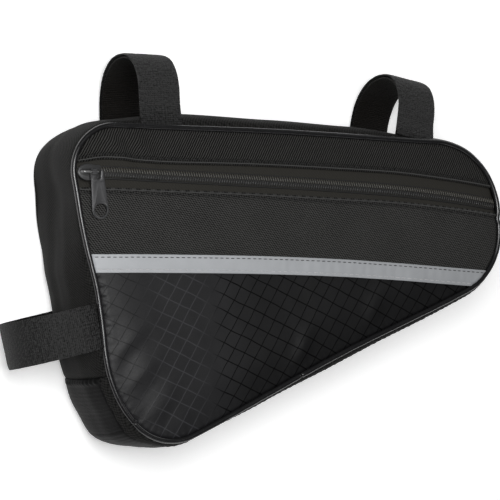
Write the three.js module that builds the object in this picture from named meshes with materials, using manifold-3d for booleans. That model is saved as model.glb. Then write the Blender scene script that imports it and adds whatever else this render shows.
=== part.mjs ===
// A triangular bag for a bicycle frame, lying on its back: X runs along its top edge, Y towards the
// top edge, and Z up through the front. Lengths are in millimetres.
// The origin is on the flat outside of the back panel, under the middle of the corners.
import * as THREE from 'three';
import { mergeVertices } from 'three/addons/utils/BufferGeometryUtils.js';
import Module from 'manifold-3d';

const wasm = await Module();
wasm.setup();

// Driving sizes of the bag
const BAG_LENGTH = 288.7; // between the outermost corners of the piping's polygon
const BAG_HEIGHT = 184.4;
const BAG_DEPTH = 62.4; // from the back's outside to the middle of the piping
const CLEARANCE = 0.3; // between pieces that touch on the real bag

// Cloth and trim
const BACK_THICKNESS = 2;
const WALL_THICKNESS = 2;
const PANEL_THICKNESS = 1.5;
const TAPE_THICKNESS = 1;
const STRIP_THICKNESS = 1;
const STRIP_WIDTH = 9.7;
const PIPING_DIAMETER = 3.2;
const SEAM_STRIP_WIDTH = 3.6;
const DOME_HEIGHT = 3; // how far the front swells above its rim
const DOME_RUN = 25; // how far in from the rim it is still rising
const FOLD_HEIGHT = 0.7; // how far a folded hem stands above the panel
const FOLD_WIDTH = 3;
const WALL_ROUNDNESS = 0.4; // the lower this power, the boxier the bulge of the side wall

// Zip
const TAPE_WIDTH = 13; // from the middle of the chain to a tape's outer edge
const CHAIN_WIDTH = 6.6;
const CHAIN_HEIGHT = 1.3;
const SLIDER_LENGTH = 13.9;
const SLIDER_WIDTH = 10;
const SLIDER_TAIL_WIDTH = 7.6;
const SLIDER_THICKNESS = 1.6;
const SLIDER_BEVEL = 0.4;
const SLIDER_FROM_CORNER = 13; // from the top left corner to the middle of the slider
const BAIL_DIAMETER = 1.5;
const BAIL_LENGTH = 9.6;

// Pull tab
const PULL_REACH = 21.2; // from the bail bar to the middle of the round end
const PULL_END_WIDTH = 10;
const PULL_TOP_WIDTH = 7.6;
const PULL_HOLE_DIAMETER = 7.2;
const PULL_THICKNESS = 1.2;
const PULL_LEAN = 8; // degrees off the straight hang
const KNUCKLE_WALL = 0.75;
const KNUCKLE_WIDTH = 3;

// Webbing loops
const STRAP_WIDTH = 25;
const STRAP_THICKNESS = 1.5;
const STRAP_REACH = 46; // from the piping line to the outside of the loop
const STRAP_INSET = 2.4; // from the seams to the loop's legs
const LINING_THICKNESS = 1.2;
const LINING_WIDTH = 23;

// Derived sizes
const PIPING_RADIUS = PIPING_DIAMETER / 2;
const BAIL_RADIUS = BAIL_DIAMETER / 2;
const KNUCKLE_BORE_RADIUS = BAIL_RADIUS + CLEARANCE;
const KNUCKLE_RADIUS = KNUCKLE_BORE_RADIUS + KNUCKLE_WALL;
const PANEL_INSET = PIPING_RADIUS + 2 * CLEARANCE; // the piping's flat sides cut its corners a little
const WALL_FRONT = BAG_DEPTH - PIPING_RADIUS - CLEARANCE;
const WALL_BACK = BACK_THICKNESS + CLEARANCE;

// Corners of the outline, clockwise from the top left. along and down are shares of the bag's length
// and height and radius is a share of its height. The edge after each corner swells outwards by bow
// and swings out and in again by wave, both shares of the length.
const corners = [
  { name: 'top_left', along: 0, down: 0, radius: 0.141, bow: 0.0037, wave: 0 },
  { name: 'top_right', along: 0.984, down: 0.002, radius: 0.235, bow: -0.0028, wave: 0.0005 },
  { name: 'right', along: 1, down: 0.426, radius: 0.225, bow: -0.0068, wave: -0.0003 },
  { name: 'bottom', along: 0.196, down: 1, radius: 0.171, bow: -0.0022, wave: -0.0021 },
  { name: 'left', along: 0.097, down: 0.83, radius: 0.354, bow: -0.0041, wave: -0.0039 },
];

// How far the side wall bulges past the piping, as a share of the depth. Each row is at a share of
// the way round a corner, or of the way along the edge that follows it.
const bulges = [
  { corner: 'top_left', round: 'corner', share: 0.5, bulge: 0.058 },
  { corner: 'top_left', round: 'edge', share: 0.25, bulge: 0.188 },
  { corner: 'top_left', round: 'edge', share: 0.5, bulge: 0.165 },
  { corner: 'top_left', round: 'edge', share: 0.75, bulge: 0.148 },
  { corner: 'top_left', round: 'edge', share: 0.98, bulge: 0.07 },
  { corner: 'top_right', round: 'corner', share: 0.5, bulge: 0.064 },
  { corner: 'top_right', round: 'edge', share: 0.5, bulge: 0.072 },
  { corner: 'right', round: 'corner', share: 0.5, bulge: 0.075 },
  { corner: 'right', round: 'edge', share: 0.25, bulge: 0.106 },
  { corner: 'right', round: 'edge', share: 0.5, bulge: 0.124 },
  { corner: 'right', round: 'edge', share: 0.75, bulge: 0.08 },
  { corner: 'right', round: 'edge', share: 0.96, bulge: 0.038 },
  { corner: 'bottom', round: 'corner', share: 0.5, bulge: 0.07 },
  { corner: 'bottom', round: 'edge', share: 0.1, bulge: 0.16 },
  { corner: 'left', round: 'corner', share: 0.3, bulge: 0.118 },
  { corner: 'left', round: 'edge', share: 0.25, bulge: 0.142 },
  { corner: 'left', round: 'edge', share: 0.5, bulge: 0.135 },
  { corner: 'left', round: 'edge', share: 0.72, bulge: 0.055 },
  { corner: 'left', round: 'edge', share: 0.94, bulge: 0.018 },
];

// Lines across the front, each a share of the height below the top corner, at shares of the length.
const frontLines = [
  { along: 0.03, upperHem: 0.1166, zip: 0.1513, lowerHem: 0.1985, stripTop: 0.399 },
  { along: 0.08, upperHem: 0.1045, zip: 0.1475, lowerHem: 0.1974, stripTop: 0.3986 },
  { along: 0.18, upperHem: 0.1115, zip: 0.1495, lowerHem: 0.1969, stripTop: 0.3964 },
  { along: 0.4, upperHem: 0.1066, zip: 0.154, lowerHem: 0.1972, stripTop: 0.3943 },
  { along: 0.58, upperHem: 0.1085, zip: 0.1594, lowerHem: 0.2022, stripTop: 0.398 },
  { along: 0.73, upperHem: 0.1128, zip: 0.167, lowerHem: 0.2066, stripTop: 0.4067 },
  { along: 0.85, upperHem: 0.1264, zip: 0.179, lowerHem: 0.2175, stripTop: 0.4165 },
  { along: 0.965, upperHem: 0.1437, zip: 0.1969, lowerHem: 0.2316, stripTop: 0.4246 },
];

// Soft folds of the front: middle as shares of length and height, heading in degrees from the top
// edge, and half length, half width and rise as shares of the height.
const frontFolds = [
  { along: 0.1, down: 0.06, heading: -52, reach: 0.07, width: 0.028, rise: 0.0045 },
  { along: 0.155, down: 0.055, heading: -56, reach: 0.07, width: 0.03, rise: 0.0035 },
  { along: 0.135, down: 0.66, heading: 48, reach: 0.075, width: 0.028, rise: 0.0065 },
  { along: 0.155, down: 0.76, heading: 45, reach: 0.085, width: 0.03, rise: 0.007 },
  { along: 0.125, down: 0.71, heading: 47, reach: 0.07, width: 0.022, rise: -0.0045 },
  { along: 0.195, down: 0.85, heading: 55, reach: 0.07, width: 0.03, rise: 0.0055 },
  { along: 0.51, down: 0.68, heading: 68, reach: 0.075, width: 0.026, rise: 0.005 },
  { along: 0.68, down: 0.55, heading: 66, reach: 0.07, width: 0.03, rise: 0.004 },
];

// Soft dents of the side wall, at a share of the way along the edge after a corner and a share of
// the depth: half length round the wall, half width in depth and rise, all shares of the depth.
const wallFolds = [
  { corner: 'left', share: 0.86, depth: 0.55, reach: 0.3, width: 0.22, rise: -0.022 },
  { corner: 'left', share: 0.52, depth: 0.68, reach: 0.9, width: 0.1, rise: 0.014 },
  { corner: 'left', share: 0.5, depth: 0.4, reach: 0.9, width: 0.1, rise: -0.014 },
  { corner: 'top_left', share: 0.42, depth: 0.5, reach: 0.7, width: 0.3, rise: -0.012 },
  { corner: 'right', share: 0.45, depth: 0.45, reach: 0.9, width: 0.25, rise: -0.012 },
];

// Webbing loops: where each stands on an edge, how far it leans off the edge's outward direction, and
// its reach as a share of the longest.
const straps = [
  { name: 'strap_top_left', corner: 'top_left', share: 0.135, lean: 0, reach: 1 },
  { name: 'strap_top_right', corner: 'top_left', share: 0.929, lean: -9, reach: 0.93 },
  { name: 'strap_side', corner: 'left', share: 0.208, lean: 8.3, reach: 0.985 },
];

// Where the two side walls meet, and where the piping's ends meet
const LEFT_JOIN = { corner: 'left', round: 'corner', share: 0.82 };
const RIGHT_JOIN = { corner: 'right', round: 'corner', share: 0.5 };
const PIPING_JOIN = { corner: 'right', round: 'edge', share: 0.62 };

// Steps of the meshes
const ARC_STEPS = 16;
const EDGE_STEPS = 24;
const PIPING_STEPS = 100;
const PIPING_SIDES = 8;
const WALL_STEP = 8;
const WALL_ROWS = 6;
const ROUND_SIDES = 12;

const twill = { color: 0x2d2d2a, roughness: 0.9, metalness: 0 };
const ripstop = { color: 0x232328, roughness: 0.45, metalness: 0 };
const webbing = { color: 0x1d1d1e, roughness: 0.75, metalness: 0 };
const smoothCloth = { color: 0x1c1c1d, roughness: 0.8, metalness: 0 };
const glossyBead = { color: 0x141414, roughness: 0.25, metalness: 0 };
const reflective = { color: 0xb3b6ba, roughness: 0.5, metalness: 0 };
const coilNylon = { color: 0x1b1a18, roughness: 0.35, metalness: 0 };
const enamel = { color: 0x2a2a2c, roughness: 0.35, metalness: 0.6 };

const lerp = THREE.MathUtils.lerp;
const radians = THREE.MathUtils.degToRad;

// Outline

function cornerPoint(corner) {
  return new THREE.Vector2(corner.along * BAG_LENGTH, -corner.down * BAG_HEIGHT);
}

// The round of one corner, with its radius kept to half of the shorter edge beside it.
function cornerRound(index) {
  const count = corners.length;
  const tip = cornerPoint(corners[index]);
  const before = cornerPoint(corners[(index + count - 1) % count]).sub(tip);
  const after = cornerPoint(corners[(index + 1) % count]).sub(tip);
  const shorter = Math.min(before.length(), after.length());
  before.normalize();
  after.normalize();
  const half = Math.acos(before.dot(after)) / 2;
  const wanted = corners[index].radius * BAG_HEIGHT;
  const radius = Math.min(wanted, 0.55 * shorter * Math.tan(half));
  const reach = radius / Math.tan(half);
  const inwards = before.clone().add(after).normalize();
  const middle = tip.clone().addScaledVector(inwards, radius / Math.sin(half));
  const start = tip.clone().addScaledVector(before, reach);
  const end = tip.clone().addScaledVector(after, reach);
  return { middle, radius, start, end };
}

// The outline as a list of close points with the distance run so far and the outward direction,
// clockwise from the start of the top left round.
function makeOutline() {
  const rounds = corners.map((corner, index) => cornerRound(index));
  const points = [];
  const marks = {};
  rounds.forEach((round, index) => {
    const from = Math.atan2(round.start.y - round.middle.y, round.start.x - round.middle.x);
    const to = Math.atan2(round.end.y - round.middle.y, round.end.x - round.middle.x);
    const turn = -THREE.MathUtils.euclideanModulo(from - to, 2 * Math.PI);
    const firstOfCorner = points.length;
    for (let step = 0; step <= ARC_STEPS; step += 1) {
      const angle = from + (turn * step) / ARC_STEPS;
      const spoke = new THREE.Vector2(Math.cos(angle), Math.sin(angle)).multiplyScalar(round.radius);
      points.push(round.middle.clone().add(spoke));
    }
    const firstOfEdge = points.length - 1;
    const next = rounds[(index + 1) % rounds.length];
    const run = next.start.clone().sub(round.end);
    const outward = new THREE.Vector2(-run.y, run.x).normalize();
    for (let step = 1; step < EDGE_STEPS; step += 1) {
      const share = step / EDGE_STEPS;
      const swell = Math.sin(Math.PI * share);
      const bow = corners[index].bow * BAG_LENGTH * swell * swell;
      const wave = corners[index].wave * BAG_LENGTH * swell * Math.sin(2 * Math.PI * share);
      const point = round.end.clone().addScaledVector(run, share);
      points.push(point.addScaledVector(outward, bow + wave));
    }
    marks[corners[index].name] = { firstOfCorner, firstOfEdge, last: points.length };
  });
  const count = points.length;
  const distances = [0];
  for (let index = 1; index <= count; index += 1) {
    distances.push(distances[index - 1] + points[index % count].distanceTo(points[index - 1]));
  }
  const outwards = points.map((point, index) => {
    const run = points[(index + 1) % count].clone().sub(points[(index + count - 1) % count]);
    return new THREE.Vector2(-run.y, run.x).normalize();
  });
  return { points, distances, outwards, marks, length: distances[count] };
}

const outline = makeOutline();

// The point and outward direction at a distance round the outline.
function outlineAt(distance) {
  const wrapped = THREE.MathUtils.euclideanModulo(distance, outline.length);
  let low = 0;
  let high = outline.points.length;
  while (high - low > 1) {
    const middle = (low + high) >> 1;
    if (outline.distances[middle] <= wrapped) {
      low = middle;
    } else {
      high = middle;
    }
  }
  const span = outline.distances[low + 1] - outline.distances[low];
  const share = (wrapped - outline.distances[low]) / span;
  const next = (low + 1) % outline.points.length;
  const point = outline.points[low].clone().lerp(outline.points[next], share);
  const outward = outline.outwards[low].clone().lerp(outline.outwards[next], share).normalize();
  return { point, outward };
}

// The distance round the outline of a named place.
function placeOn({ corner, round, share }) {
  const mark = outline.marks[corner];
  const first = outline.distances[round === 'corner' ? mark.firstOfCorner : mark.firstOfEdge];
  const last = outline.distances[round === 'corner' ? mark.firstOfEdge : mark.last];
  return lerp(first, last, share);
}

// How deep a point lies inside the outline, below zero outside, and the nearest distance round it.
function depthInside(x, y) {
  let best = Infinity;
  let distance = 0;
  let inside = false;
  const count = outline.points.length;
  for (let index = 0; index < count; index += 1) {
    const start = outline.points[index];
    const end = outline.points[(index + 1) % count];
    const runX = end.x - start.x;
    const runY = end.y - start.y;
    const share = THREE.MathUtils.clamp(
      ((x - start.x) * runX + (y - start.y) * runY) / (runX * runX + runY * runY), 0, 1);
    const gap = Math.hypot(x - start.x - share * runX, y - start.y - share * runY);
    if (gap < best) {
      best = gap;
      distance = lerp(outline.distances[index], outline.distances[index + 1], share);
    }
    if (start.y > y !== end.y > y && x < start.x + ((y - start.y) / runY) * runX) {
      inside = !inside;
    }
  }
  return { depth: inside ? best : -best, distance };
}

// Side wall

const bulgeKnots = bulges
  .map((row) => ({ distance: placeOn(row), bulge: row.bulge * BAG_DEPTH }))
  .sort((one, other) => one.distance - other.distance);

function bulgeAt(distance) {
  const wrapped = THREE.MathUtils.euclideanModulo(distance, outline.length);
  const count = bulgeKnots.length;
  let next = bulgeKnots.findIndex((knot) => knot.distance > wrapped);
  if (next < 0) {
    next = count;
  }
  const before = bulgeKnots[(next + count - 1) % count];
  const after = bulgeKnots[next % count];
  const span = THREE.MathUtils.euclideanModulo(after.distance - before.distance, outline.length);
  const run = THREE.MathUtils.euclideanModulo(wrapped - before.distance, outline.length);
  return lerp(before.bulge, after.bulge, THREE.MathUtils.smoothstep(run / span, 0, 1));
}

function wallFoldAt(distance, height) {
  let rise = 0;
  for (const fold of wallFolds) {
    const middle = placeOn({ corner: fold.corner, round: 'edge', share: fold.share });
    let run = THREE.MathUtils.euclideanModulo(distance - middle, outline.length);
    if (run > outline.length / 2) {
      run -= outline.length;
    }
    const along = run / (fold.reach * BAG_DEPTH);
    const across = (height / BAG_DEPTH - fold.depth) / fold.width;
    rise += fold.rise * BAG_DEPTH * Math.exp(-along * along - across * across);
  }
  return rise;
}

// How far the wall's outside lies past the piping line, at a height over the back.
function wallOutside(distance, height) {
  const share = THREE.MathUtils.clamp((height - WALL_BACK) / (WALL_FRONT - WALL_BACK), 0, 1);
  const round = Math.pow(Math.sin(Math.PI * share), WALL_ROUNDNESS);
  const seam = WALL_THICKNESS / 2;
  return seam + (bulgeAt(distance) - seam + wallFoldAt(distance, height)) * round;
}

// Meshes

// A box of columns by rows whose points are moved to place(u, v, w), with u, v and w from 0 to 1.
function warpedBox(columns, rows, place) {
  const box = new THREE.BoxGeometry(1, 1, 1, columns, rows, 1);
  const position = box.getAttribute('position');
  for (let index = 0; index < position.count; index += 1) {
    const u = position.getX(index) + 0.5;
    const v = position.getY(index) + 0.5;
    const w = position.getZ(index) + 0.5;
    const point = place(u, v, w);
    position.setXYZ(index, point.x, point.y, point.z);
  }
  box.computeVertexNormals();
  return box;
}

function solidOf(geometry) {
  const bare = geometry.clone();
  bare.deleteAttribute('normal');
  bare.deleteAttribute('uv');
  const merged = mergeVertices(bare, 1e-4);
  return new wasm.Manifold(new wasm.Mesh({
    numProp: 3,
    vertProperties: merged.getAttribute('position').array,
    triVerts: new Uint32Array(merged.getIndex().array),
  }));
}

function geometryOf(solid) {
  const mesh = solid.getMesh();
  const geometry = new THREE.BufferGeometry();
  geometry.setAttribute('position', new THREE.BufferAttribute(mesh.vertProperties, 3));
  geometry.setIndex(new THREE.BufferAttribute(mesh.triVerts, 1));
  geometry.computeVertexNormals();
  return geometry;
}

function piece(name, geometry, look) {
  const mesh = new THREE.Mesh(geometry, new THREE.MeshStandardMaterial(look));
  mesh.name = name;
  return mesh;
}

// Front

// A front line's height at a place along the bag, smoothed through its table.
function lineAt(column, x) {
  const along = x / BAG_LENGTH;
  const last = frontLines.length - 1;
  let index = frontLines.findIndex((row) => row.along > along) - 1;
  if (along >= frontLines[last].along) {
    index = last - 1;
  }
  index = Math.max(0, index);
  const slopeAt = (row) => {
    const before = frontLines[Math.max(0, row - 1)];
    const after = frontLines[Math.min(last, row + 1)];
    return (after[column] - before[column]) / (after.along - before.along);
  };
  const start = frontLines[index];
  const end = frontLines[index + 1];
  const span = end.along - start.along;
  const share = (along - start.along) / span;
  if (share < 0) {
    return -BAG_HEIGHT * (start[column] + slopeAt(0) * (along - start.along));
  }
  if (share > 1) {
    return -BAG_HEIGHT * (end[column] + slopeAt(last) * (along - end.along));
  }
  const square = share * share;
  const cube = square * share;
  const down = start[column] * (2 * cube - 3 * square + 1) + end[column] * (3 * square - 2 * cube)
    + slopeAt(index) * span * (cube - 2 * square + share)
    + slopeAt(index + 1) * span * (cube - square);
  return -BAG_HEIGHT * down;
}

const upperHem = (x) => lineAt('upperHem', x);
const zipLine = (x) => lineAt('zip', x);
const lowerHem = (x) => lineAt('lowerHem', x);
const stripTop = (x) => lineAt('stripTop', x);
const stripBottom = (x) => stripTop(x) - STRIP_WIDTH;
const stripMiddle = (x) => stripTop(x) - STRIP_WIDTH / 2;

// The inner side of an edge of the outline, as a line that runs on straight past the edge's ends.
function insideEdge(corner) {
  const mark = outline.marks[corner];
  const points = outline.points.slice(mark.firstOfEdge, mark.last);
  points.push(outline.points[mark.last % outline.points.length]);
  points.sort((one, other) => one.x - other.x);
  const middle = outline.outwards[Math.round((mark.firstOfEdge + mark.last) / 2)];
  const drop = PANEL_INSET / Math.abs(middle.y);
  const side = Math.sign(middle.y);
  return (x) => {
    let index = points.findIndex((point) => point.x > x) - 1;
    index = index < 0 ? (x < points[0].x ? 0 : points.length - 2) : index;
    const start = points[index];
    const end = points[index + 1];
    return lerp(start.y, end.y, (x - start.x) / (end.x - start.x)) - side * drop;
  };
}

function frontFoldAt(x, y) {
  let rise = 0;
  for (const fold of frontFolds) {
    const heading = radians(fold.heading);
    const offX = x - fold.along * BAG_LENGTH;
    const offY = y + fold.down * BAG_HEIGHT;
    const along = (offX * Math.cos(heading) + offY * Math.sin(heading)) / (fold.reach * BAG_HEIGHT);
    const across = (offY * Math.cos(heading) - offX * Math.sin(heading)) / (fold.width * BAG_HEIGHT);
    rise += fold.rise * BAG_HEIGHT * Math.exp(-along * along - across * across);
  }
  return rise;
}

// The height of the front's outside over the back.
function faceHeight(x, y) {
  const depth = depthInside(x, y).depth;
  const share = THREE.MathUtils.clamp(depth / DOME_RUN, 0, 1);
  const rim = THREE.MathUtils.smoothstep(depth, PANEL_INSET, DOME_RUN);
  return BAG_DEPTH + DOME_HEIGHT * Math.sin((Math.PI / 2) * share) + frontFoldAt(x, y) * rim;
}

// Where a line across the front meets the inner side of the piping, left or right of a place on it.
function lineEnd(line, from, direction) {
  const tolerance = 0.05;
  let near = from;
  let far = direction < 0 ? -BAG_LENGTH : 2 * BAG_LENGTH;
  for (let pass = 0; pass < 40; pass += 1) {
    const middle = (near + far) / 2;
    if (depthInside(middle, line(middle)).depth >= PANEL_INSET - tolerance) {
      near = middle;
    } else {
      far = middle;
    }
  }
  return near;
}

const evenly = (share) => share;
const closerToBottom = (share) => Math.pow(share, 1.8);
const closerToTop = (share) => 1 - Math.pow(1 - share, 1.8);

// A sheet of the front between two lines across it. spread places its rows, rise(x, y) is how far
// its outside stands over the front, and narrowest is the least height that it keeps at its ends.
function frontSheet({
  bottom, top, start, columns, rows, thickness, rise, spread = evenly, narrowest = 0,
}) {
  const ends = [];
  for (let row = 0; row <= rows; row += 1) {
    const share = spread(row / rows);
    const line = (x) => lerp(bottom(x), top(x), share);
    ends.push([lineEnd(line, start, -1), lineEnd(line, start, 1)]);
  }
  if (narrowest > 0) {
    let right = start;
    while (right < 2 * BAG_LENGTH && top(right) - bottom(right) > narrowest) {
      right += 0.5;
    }
    ends.forEach((end) => {
      end[1] = Math.min(end[1], right);
    });
  }
  return warpedBox(columns, rows, (u, v, w) => {
    const row = Math.round(v * rows);
    const x = lerp(ends[row][0], ends[row][1], u);
    const y = lerp(bottom(x), top(x), spread(v));
    return new THREE.Vector3(x, y, faceHeight(x, y) + rise(x, y) - (1 - w) * thickness);
  });
}

// How far a hem stands up, by the distance from its folded edge.
function hemRise(gap) {
  const share = THREE.MathUtils.clamp(1 - gap / FOLD_WIDTH, 0, 1);
  return FOLD_HEIGHT * share;
}

function frontUpperPanel() {
  const geometry = frontSheet({
    bottom: upperHem,
    top: insideEdge('top_left'),
    start: BAG_LENGTH / 2,
    columns: 30,
    rows: 5,
    thickness: PANEL_THICKNESS,
    rise: (x, y) => hemRise(y - upperHem(x)),
    spread: closerToTop,
  });
  return piece('front_upper_panel', geometry, twill);
}

function frontMiddlePanel() {
  const geometry = frontSheet({
    bottom: (x) => stripMiddle(x) + CLEARANCE / 2,
    top: lowerHem,
    start: BAG_LENGTH / 2,
    columns: 30,
    rows: 5,
    thickness: PANEL_THICKNESS,
    rise: (x, y) => hemRise(lowerHem(x) - y),
  });
  return piece('front_middle_panel', geometry, twill);
}

function frontLowerPanel() {
  const geometry = frontSheet({
    bottom: insideEdge('right'),
    top: (x) => stripMiddle(x) - CLEARANCE / 2,
    start: BAG_LENGTH / 3,
    columns: 28,
    rows: 10,
    thickness: PANEL_THICKNESS,
    rise: () => 0,
    spread: closerToBottom,
    narrowest: STRIP_WIDTH / 2,
  });
  return piece('front_lower_panel', geometry, ripstop);
}

function reflectiveStrip() {
  const geometry = frontSheet({
    bottom: stripBottom,
    top: stripTop,
    start: BAG_LENGTH / 2,
    columns: 30,
    rows: 1,
    thickness: STRIP_THICKNESS,
    rise: () => CLEARANCE + STRIP_THICKNESS,
  });
  return piece('reflective_strip', geometry, reflective);
}

// Zip

const TAPE_TOP = -PANEL_THICKNESS - CLEARANCE; // below the front's outside
const CHAIN_TOP = TAPE_TOP + CLEARANCE + CHAIN_HEIGHT;

function zipTape(name, side) {
  const inner = (x) => zipLine(x) + (side * CLEARANCE) / 2;
  const outer = (x) => zipLine(x) + side * TAPE_WIDTH;
  const geometry = frontSheet({
    bottom: side > 0 ? inner : outer,
    top: side > 0 ? outer : inner,
    start: BAG_LENGTH / 2,
    columns: 30,
    rows: 1,
    thickness: TAPE_THICKNESS,
    rise: () => TAPE_TOP,
  });
  return piece(name, geometry, twill);
}

function zipCoil() {
  const geometry = frontSheet({
    bottom: (x) => zipLine(x) - CHAIN_WIDTH / 2,
    top: (x) => zipLine(x) + CHAIN_WIDTH / 2,
    start: BAG_LENGTH / 2,
    columns: 40,
    rows: 1,
    thickness: CHAIN_HEIGHT,
    rise: () => CHAIN_TOP,
  });
  return piece('zip_coil', geometry, coilNylon);
}

const sliderY = zipLine(SLIDER_FROM_CORNER);

// The highest point of the chain under the slider, so that the slider clears all of it.
function chainTopUnderSlider() {
  let highest = -Infinity;
  for (const share of [-0.5, 0, 0.5]) {
    for (const side of [-0.5, 0, 0.5]) {
      const x = SLIDER_FROM_CORNER + share * SLIDER_LENGTH;
      const y = sliderY + side * CHAIN_WIDTH;
      highest = Math.max(highest, faceHeight(x, y) + CHAIN_TOP);
    }
  }
  return highest;
}

const sliderBase = chainTopUnderSlider() + CLEARANCE;
const bailHeight = SLIDER_THICKNESS + CLEARANCE + KNUCKLE_RADIUS; // over the slider's base

// The slider's plate: round towards the open end of the chain, narrower towards the closed end.
function sliderPlate() {
  const half = SLIDER_LENGTH / 2;
  const shape = new THREE.Shape();
  shape.moveTo(half, SLIDER_TAIL_WIDTH / 2);
  shape.lineTo(-half * 0.1, SLIDER_WIDTH / 2);
  shape.bezierCurveTo(-half * 0.6, SLIDER_WIDTH / 2, -half, SLIDER_WIDTH * 0.3, -half, 0);
  shape.bezierCurveTo(-half, -SLIDER_WIDTH * 0.3, -half * 0.6, -SLIDER_WIDTH / 2,
    -half * 0.1, -SLIDER_WIDTH / 2);
  shape.lineTo(half, -SLIDER_TAIL_WIDTH / 2);
  shape.closePath();
  return new THREE.ExtrudeGeometry(shape, {
    depth: SLIDER_THICKNESS - 2 * SLIDER_BEVEL,
    curveSegments: 5,
    bevelEnabled: true,
    bevelThickness: SLIDER_BEVEL,
    bevelSize: SLIDER_BEVEL,
    bevelOffset: -SLIDER_BEVEL,
    bevelSegments: 1,
  }).translate(0, 0, SLIDER_BEVEL);
}

function roundSection(radius, sides) {
  const shape = new THREE.Shape();
  for (let side = 0; side < sides; side += 1) {
    const angle = (2 * Math.PI * side) / sides;
    const x = radius * Math.cos(angle);
    const y = radius * Math.sin(angle);
    if (side === 0) {
      shape.moveTo(x, y);
    } else {
      shape.lineTo(x, y);
    }
  }
  shape.closePath();
  return shape;
}

// The bail: a round bar along the zip, bent down into the plate at both ends.
function bail() {
  const half = BAIL_LENGTH / 2;
  const bend = BAIL_DIAMETER;
  const foot = SLIDER_THICKNESS / 2;
  const at = (x, z) => new THREE.Vector3(x, 0, z);
  const path = new THREE.CurvePath();
  path.add(new THREE.LineCurve3(at(-half, foot), at(-half, bailHeight - bend)));
  path.add(new THREE.QuadraticBezierCurve3(at(-half, bailHeight - bend), at(-half, bailHeight),
    at(bend - half, bailHeight)));
  path.add(new THREE.LineCurve3(at(bend - half, bailHeight), at(half - bend, bailHeight)));
  path.add(new THREE.QuadraticBezierCurve3(at(half - bend, bailHeight), at(half, bailHeight),
    at(half, bailHeight - bend)));
  path.add(new THREE.LineCurve3(at(half, bailHeight - bend), at(half, foot)));
  return new THREE.ExtrudeGeometry(roundSection(BAIL_RADIUS, 10), { steps: 22, extrudePath: path });
}

function zipSlider() {
  const solid = solidOf(sliderPlate()).add(solidOf(bail()));
  const mesh = piece('zip_slider', geometryOf(solid), enamel);
  mesh.position.set(SLIDER_FROM_CORNER, sliderY, sliderBase);
  return mesh;
}

// Pull tab, drawn with the bail bar's middle at its origin and hanging towards -Y

const knuckleMiddle = BAIL_LENGTH / 2 - BAIL_DIAMETER - KNUCKLE_WIDTH / 2; // along the bail bar
const armStart = BAIL_LENGTH / 2 + BAIL_RADIUS + CLEARANCE;

// The flat tab: a neck into the knuckle, an arm round the end of the bail, and a round end with a
// hole.
function pullTab() {
  const endRadius = PULL_END_WIDTH / 2;
  const left = armStart + BAIL_DIAMETER - PULL_TOP_WIDTH;
  const right = armStart + BAIL_DIAMETER;
  const lean = PULL_REACH * Math.tan(radians(PULL_LEAN));
  const middle = (left + right) / 2 + lean;
  const notch = -KNUCKLE_BORE_RADIUS - CLEARANCE;
  const neck = KNUCKLE_WIDTH / 2 - PULL_THICKNESS / 4;
  const shape = new THREE.Shape();
  shape.moveTo(left, notch);
  shape.lineTo(middle - endRadius, -PULL_REACH);
  shape.absarc(middle, -PULL_REACH, endRadius, Math.PI, 2 * Math.PI, false);
  shape.lineTo(right, KNUCKLE_BORE_RADIUS);
  shape.lineTo(armStart, KNUCKLE_BORE_RADIUS);
  shape.lineTo(armStart, notch);
  shape.lineTo(knuckleMiddle + neck, notch);
  shape.lineTo(knuckleMiddle + neck, 0);
  shape.lineTo(knuckleMiddle - neck, 0);
  shape.lineTo(knuckleMiddle - neck, notch);
  shape.closePath();
  const hole = new THREE.Path();
  hole.absarc(middle, -PULL_REACH, PULL_HOLE_DIAMETER / 2, 0, 2 * Math.PI, true);
  shape.holes.push(hole);
  const tab = new THREE.ExtrudeGeometry(shape, {
    depth: PULL_THICKNESS,
    curveSegments: ROUND_SIDES,
    bevelEnabled: false,
  });
  return { tab: tab.translate(0, 0, -PULL_THICKNESS / 2), middle };
}

function acrossCylinder(radius, width) {
  const cylinder = new THREE.CylinderGeometry(radius, radius, width, ROUND_SIDES);
  return cylinder.rotateZ(Math.PI / 2);
}

// How far the tab tips down, so that its end comes to rest on the front.
function pullTip(middle) {
  const x = SLIDER_FROM_CORNER + middle;
  let tip = Math.PI / 2;
  for (const share of [0.4, 0.6, 0.8, 1, 1.15, 1.24]) {
    for (const side of [-0.5, 0, 0.5]) {
      const under = faceHeight(x + side * PULL_END_WIDTH, sliderY - share * PULL_REACH);
      const drop = sliderBase + bailHeight - PULL_THICKNESS / 2 - CLEARANCE - under;
      tip = Math.min(tip, Math.atan2(drop, share * PULL_REACH));
    }
  }
  return tip;
}

function zipPull() {
  const { tab, middle } = pullTab();
  const knuckle = acrossCylinder(KNUCKLE_RADIUS, KNUCKLE_WIDTH).translate(knuckleMiddle, 0, 0);
  const bore = acrossCylinder(KNUCKLE_BORE_RADIUS, 2 * KNUCKLE_WIDTH).translate(knuckleMiddle, 0, 0);
  const solid = solidOf(tab).add(solidOf(knuckle)).subtract(solidOf(bore));
  const mesh = piece('zip_pull', geometryOf(solid), enamel);
  mesh.position.set(SLIDER_FROM_CORNER, sliderY, sliderBase + bailHeight);
  mesh.rotation.x = pullTip(middle);
  return mesh;
}

// Piping

class OutlineCurve extends THREE.Curve {
  constructor(start, end, height) {
    super();
    this.start = start;
    this.end = end;
    this.height = height;
  }

  getPoint(share, target = new THREE.Vector3()) {
    const { point } = outlineAt(lerp(this.start, this.end, share));
    return target.set(point.x, point.y, this.height);
  }
}

function frontPiping() {
  const join = placeOn(PIPING_JOIN);
  const path = new OutlineCurve(join + CLEARANCE / 2, join + outline.length - CLEARANCE / 2, BAG_DEPTH);
  const geometry = new THREE.ExtrudeGeometry(roundSection(PIPING_RADIUS, PIPING_SIDES), {
    steps: PIPING_STEPS,
    extrudePath: path,
  });
  return piece('front_piping', geometry, glossyBead);
}

// Back and side walls

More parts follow.
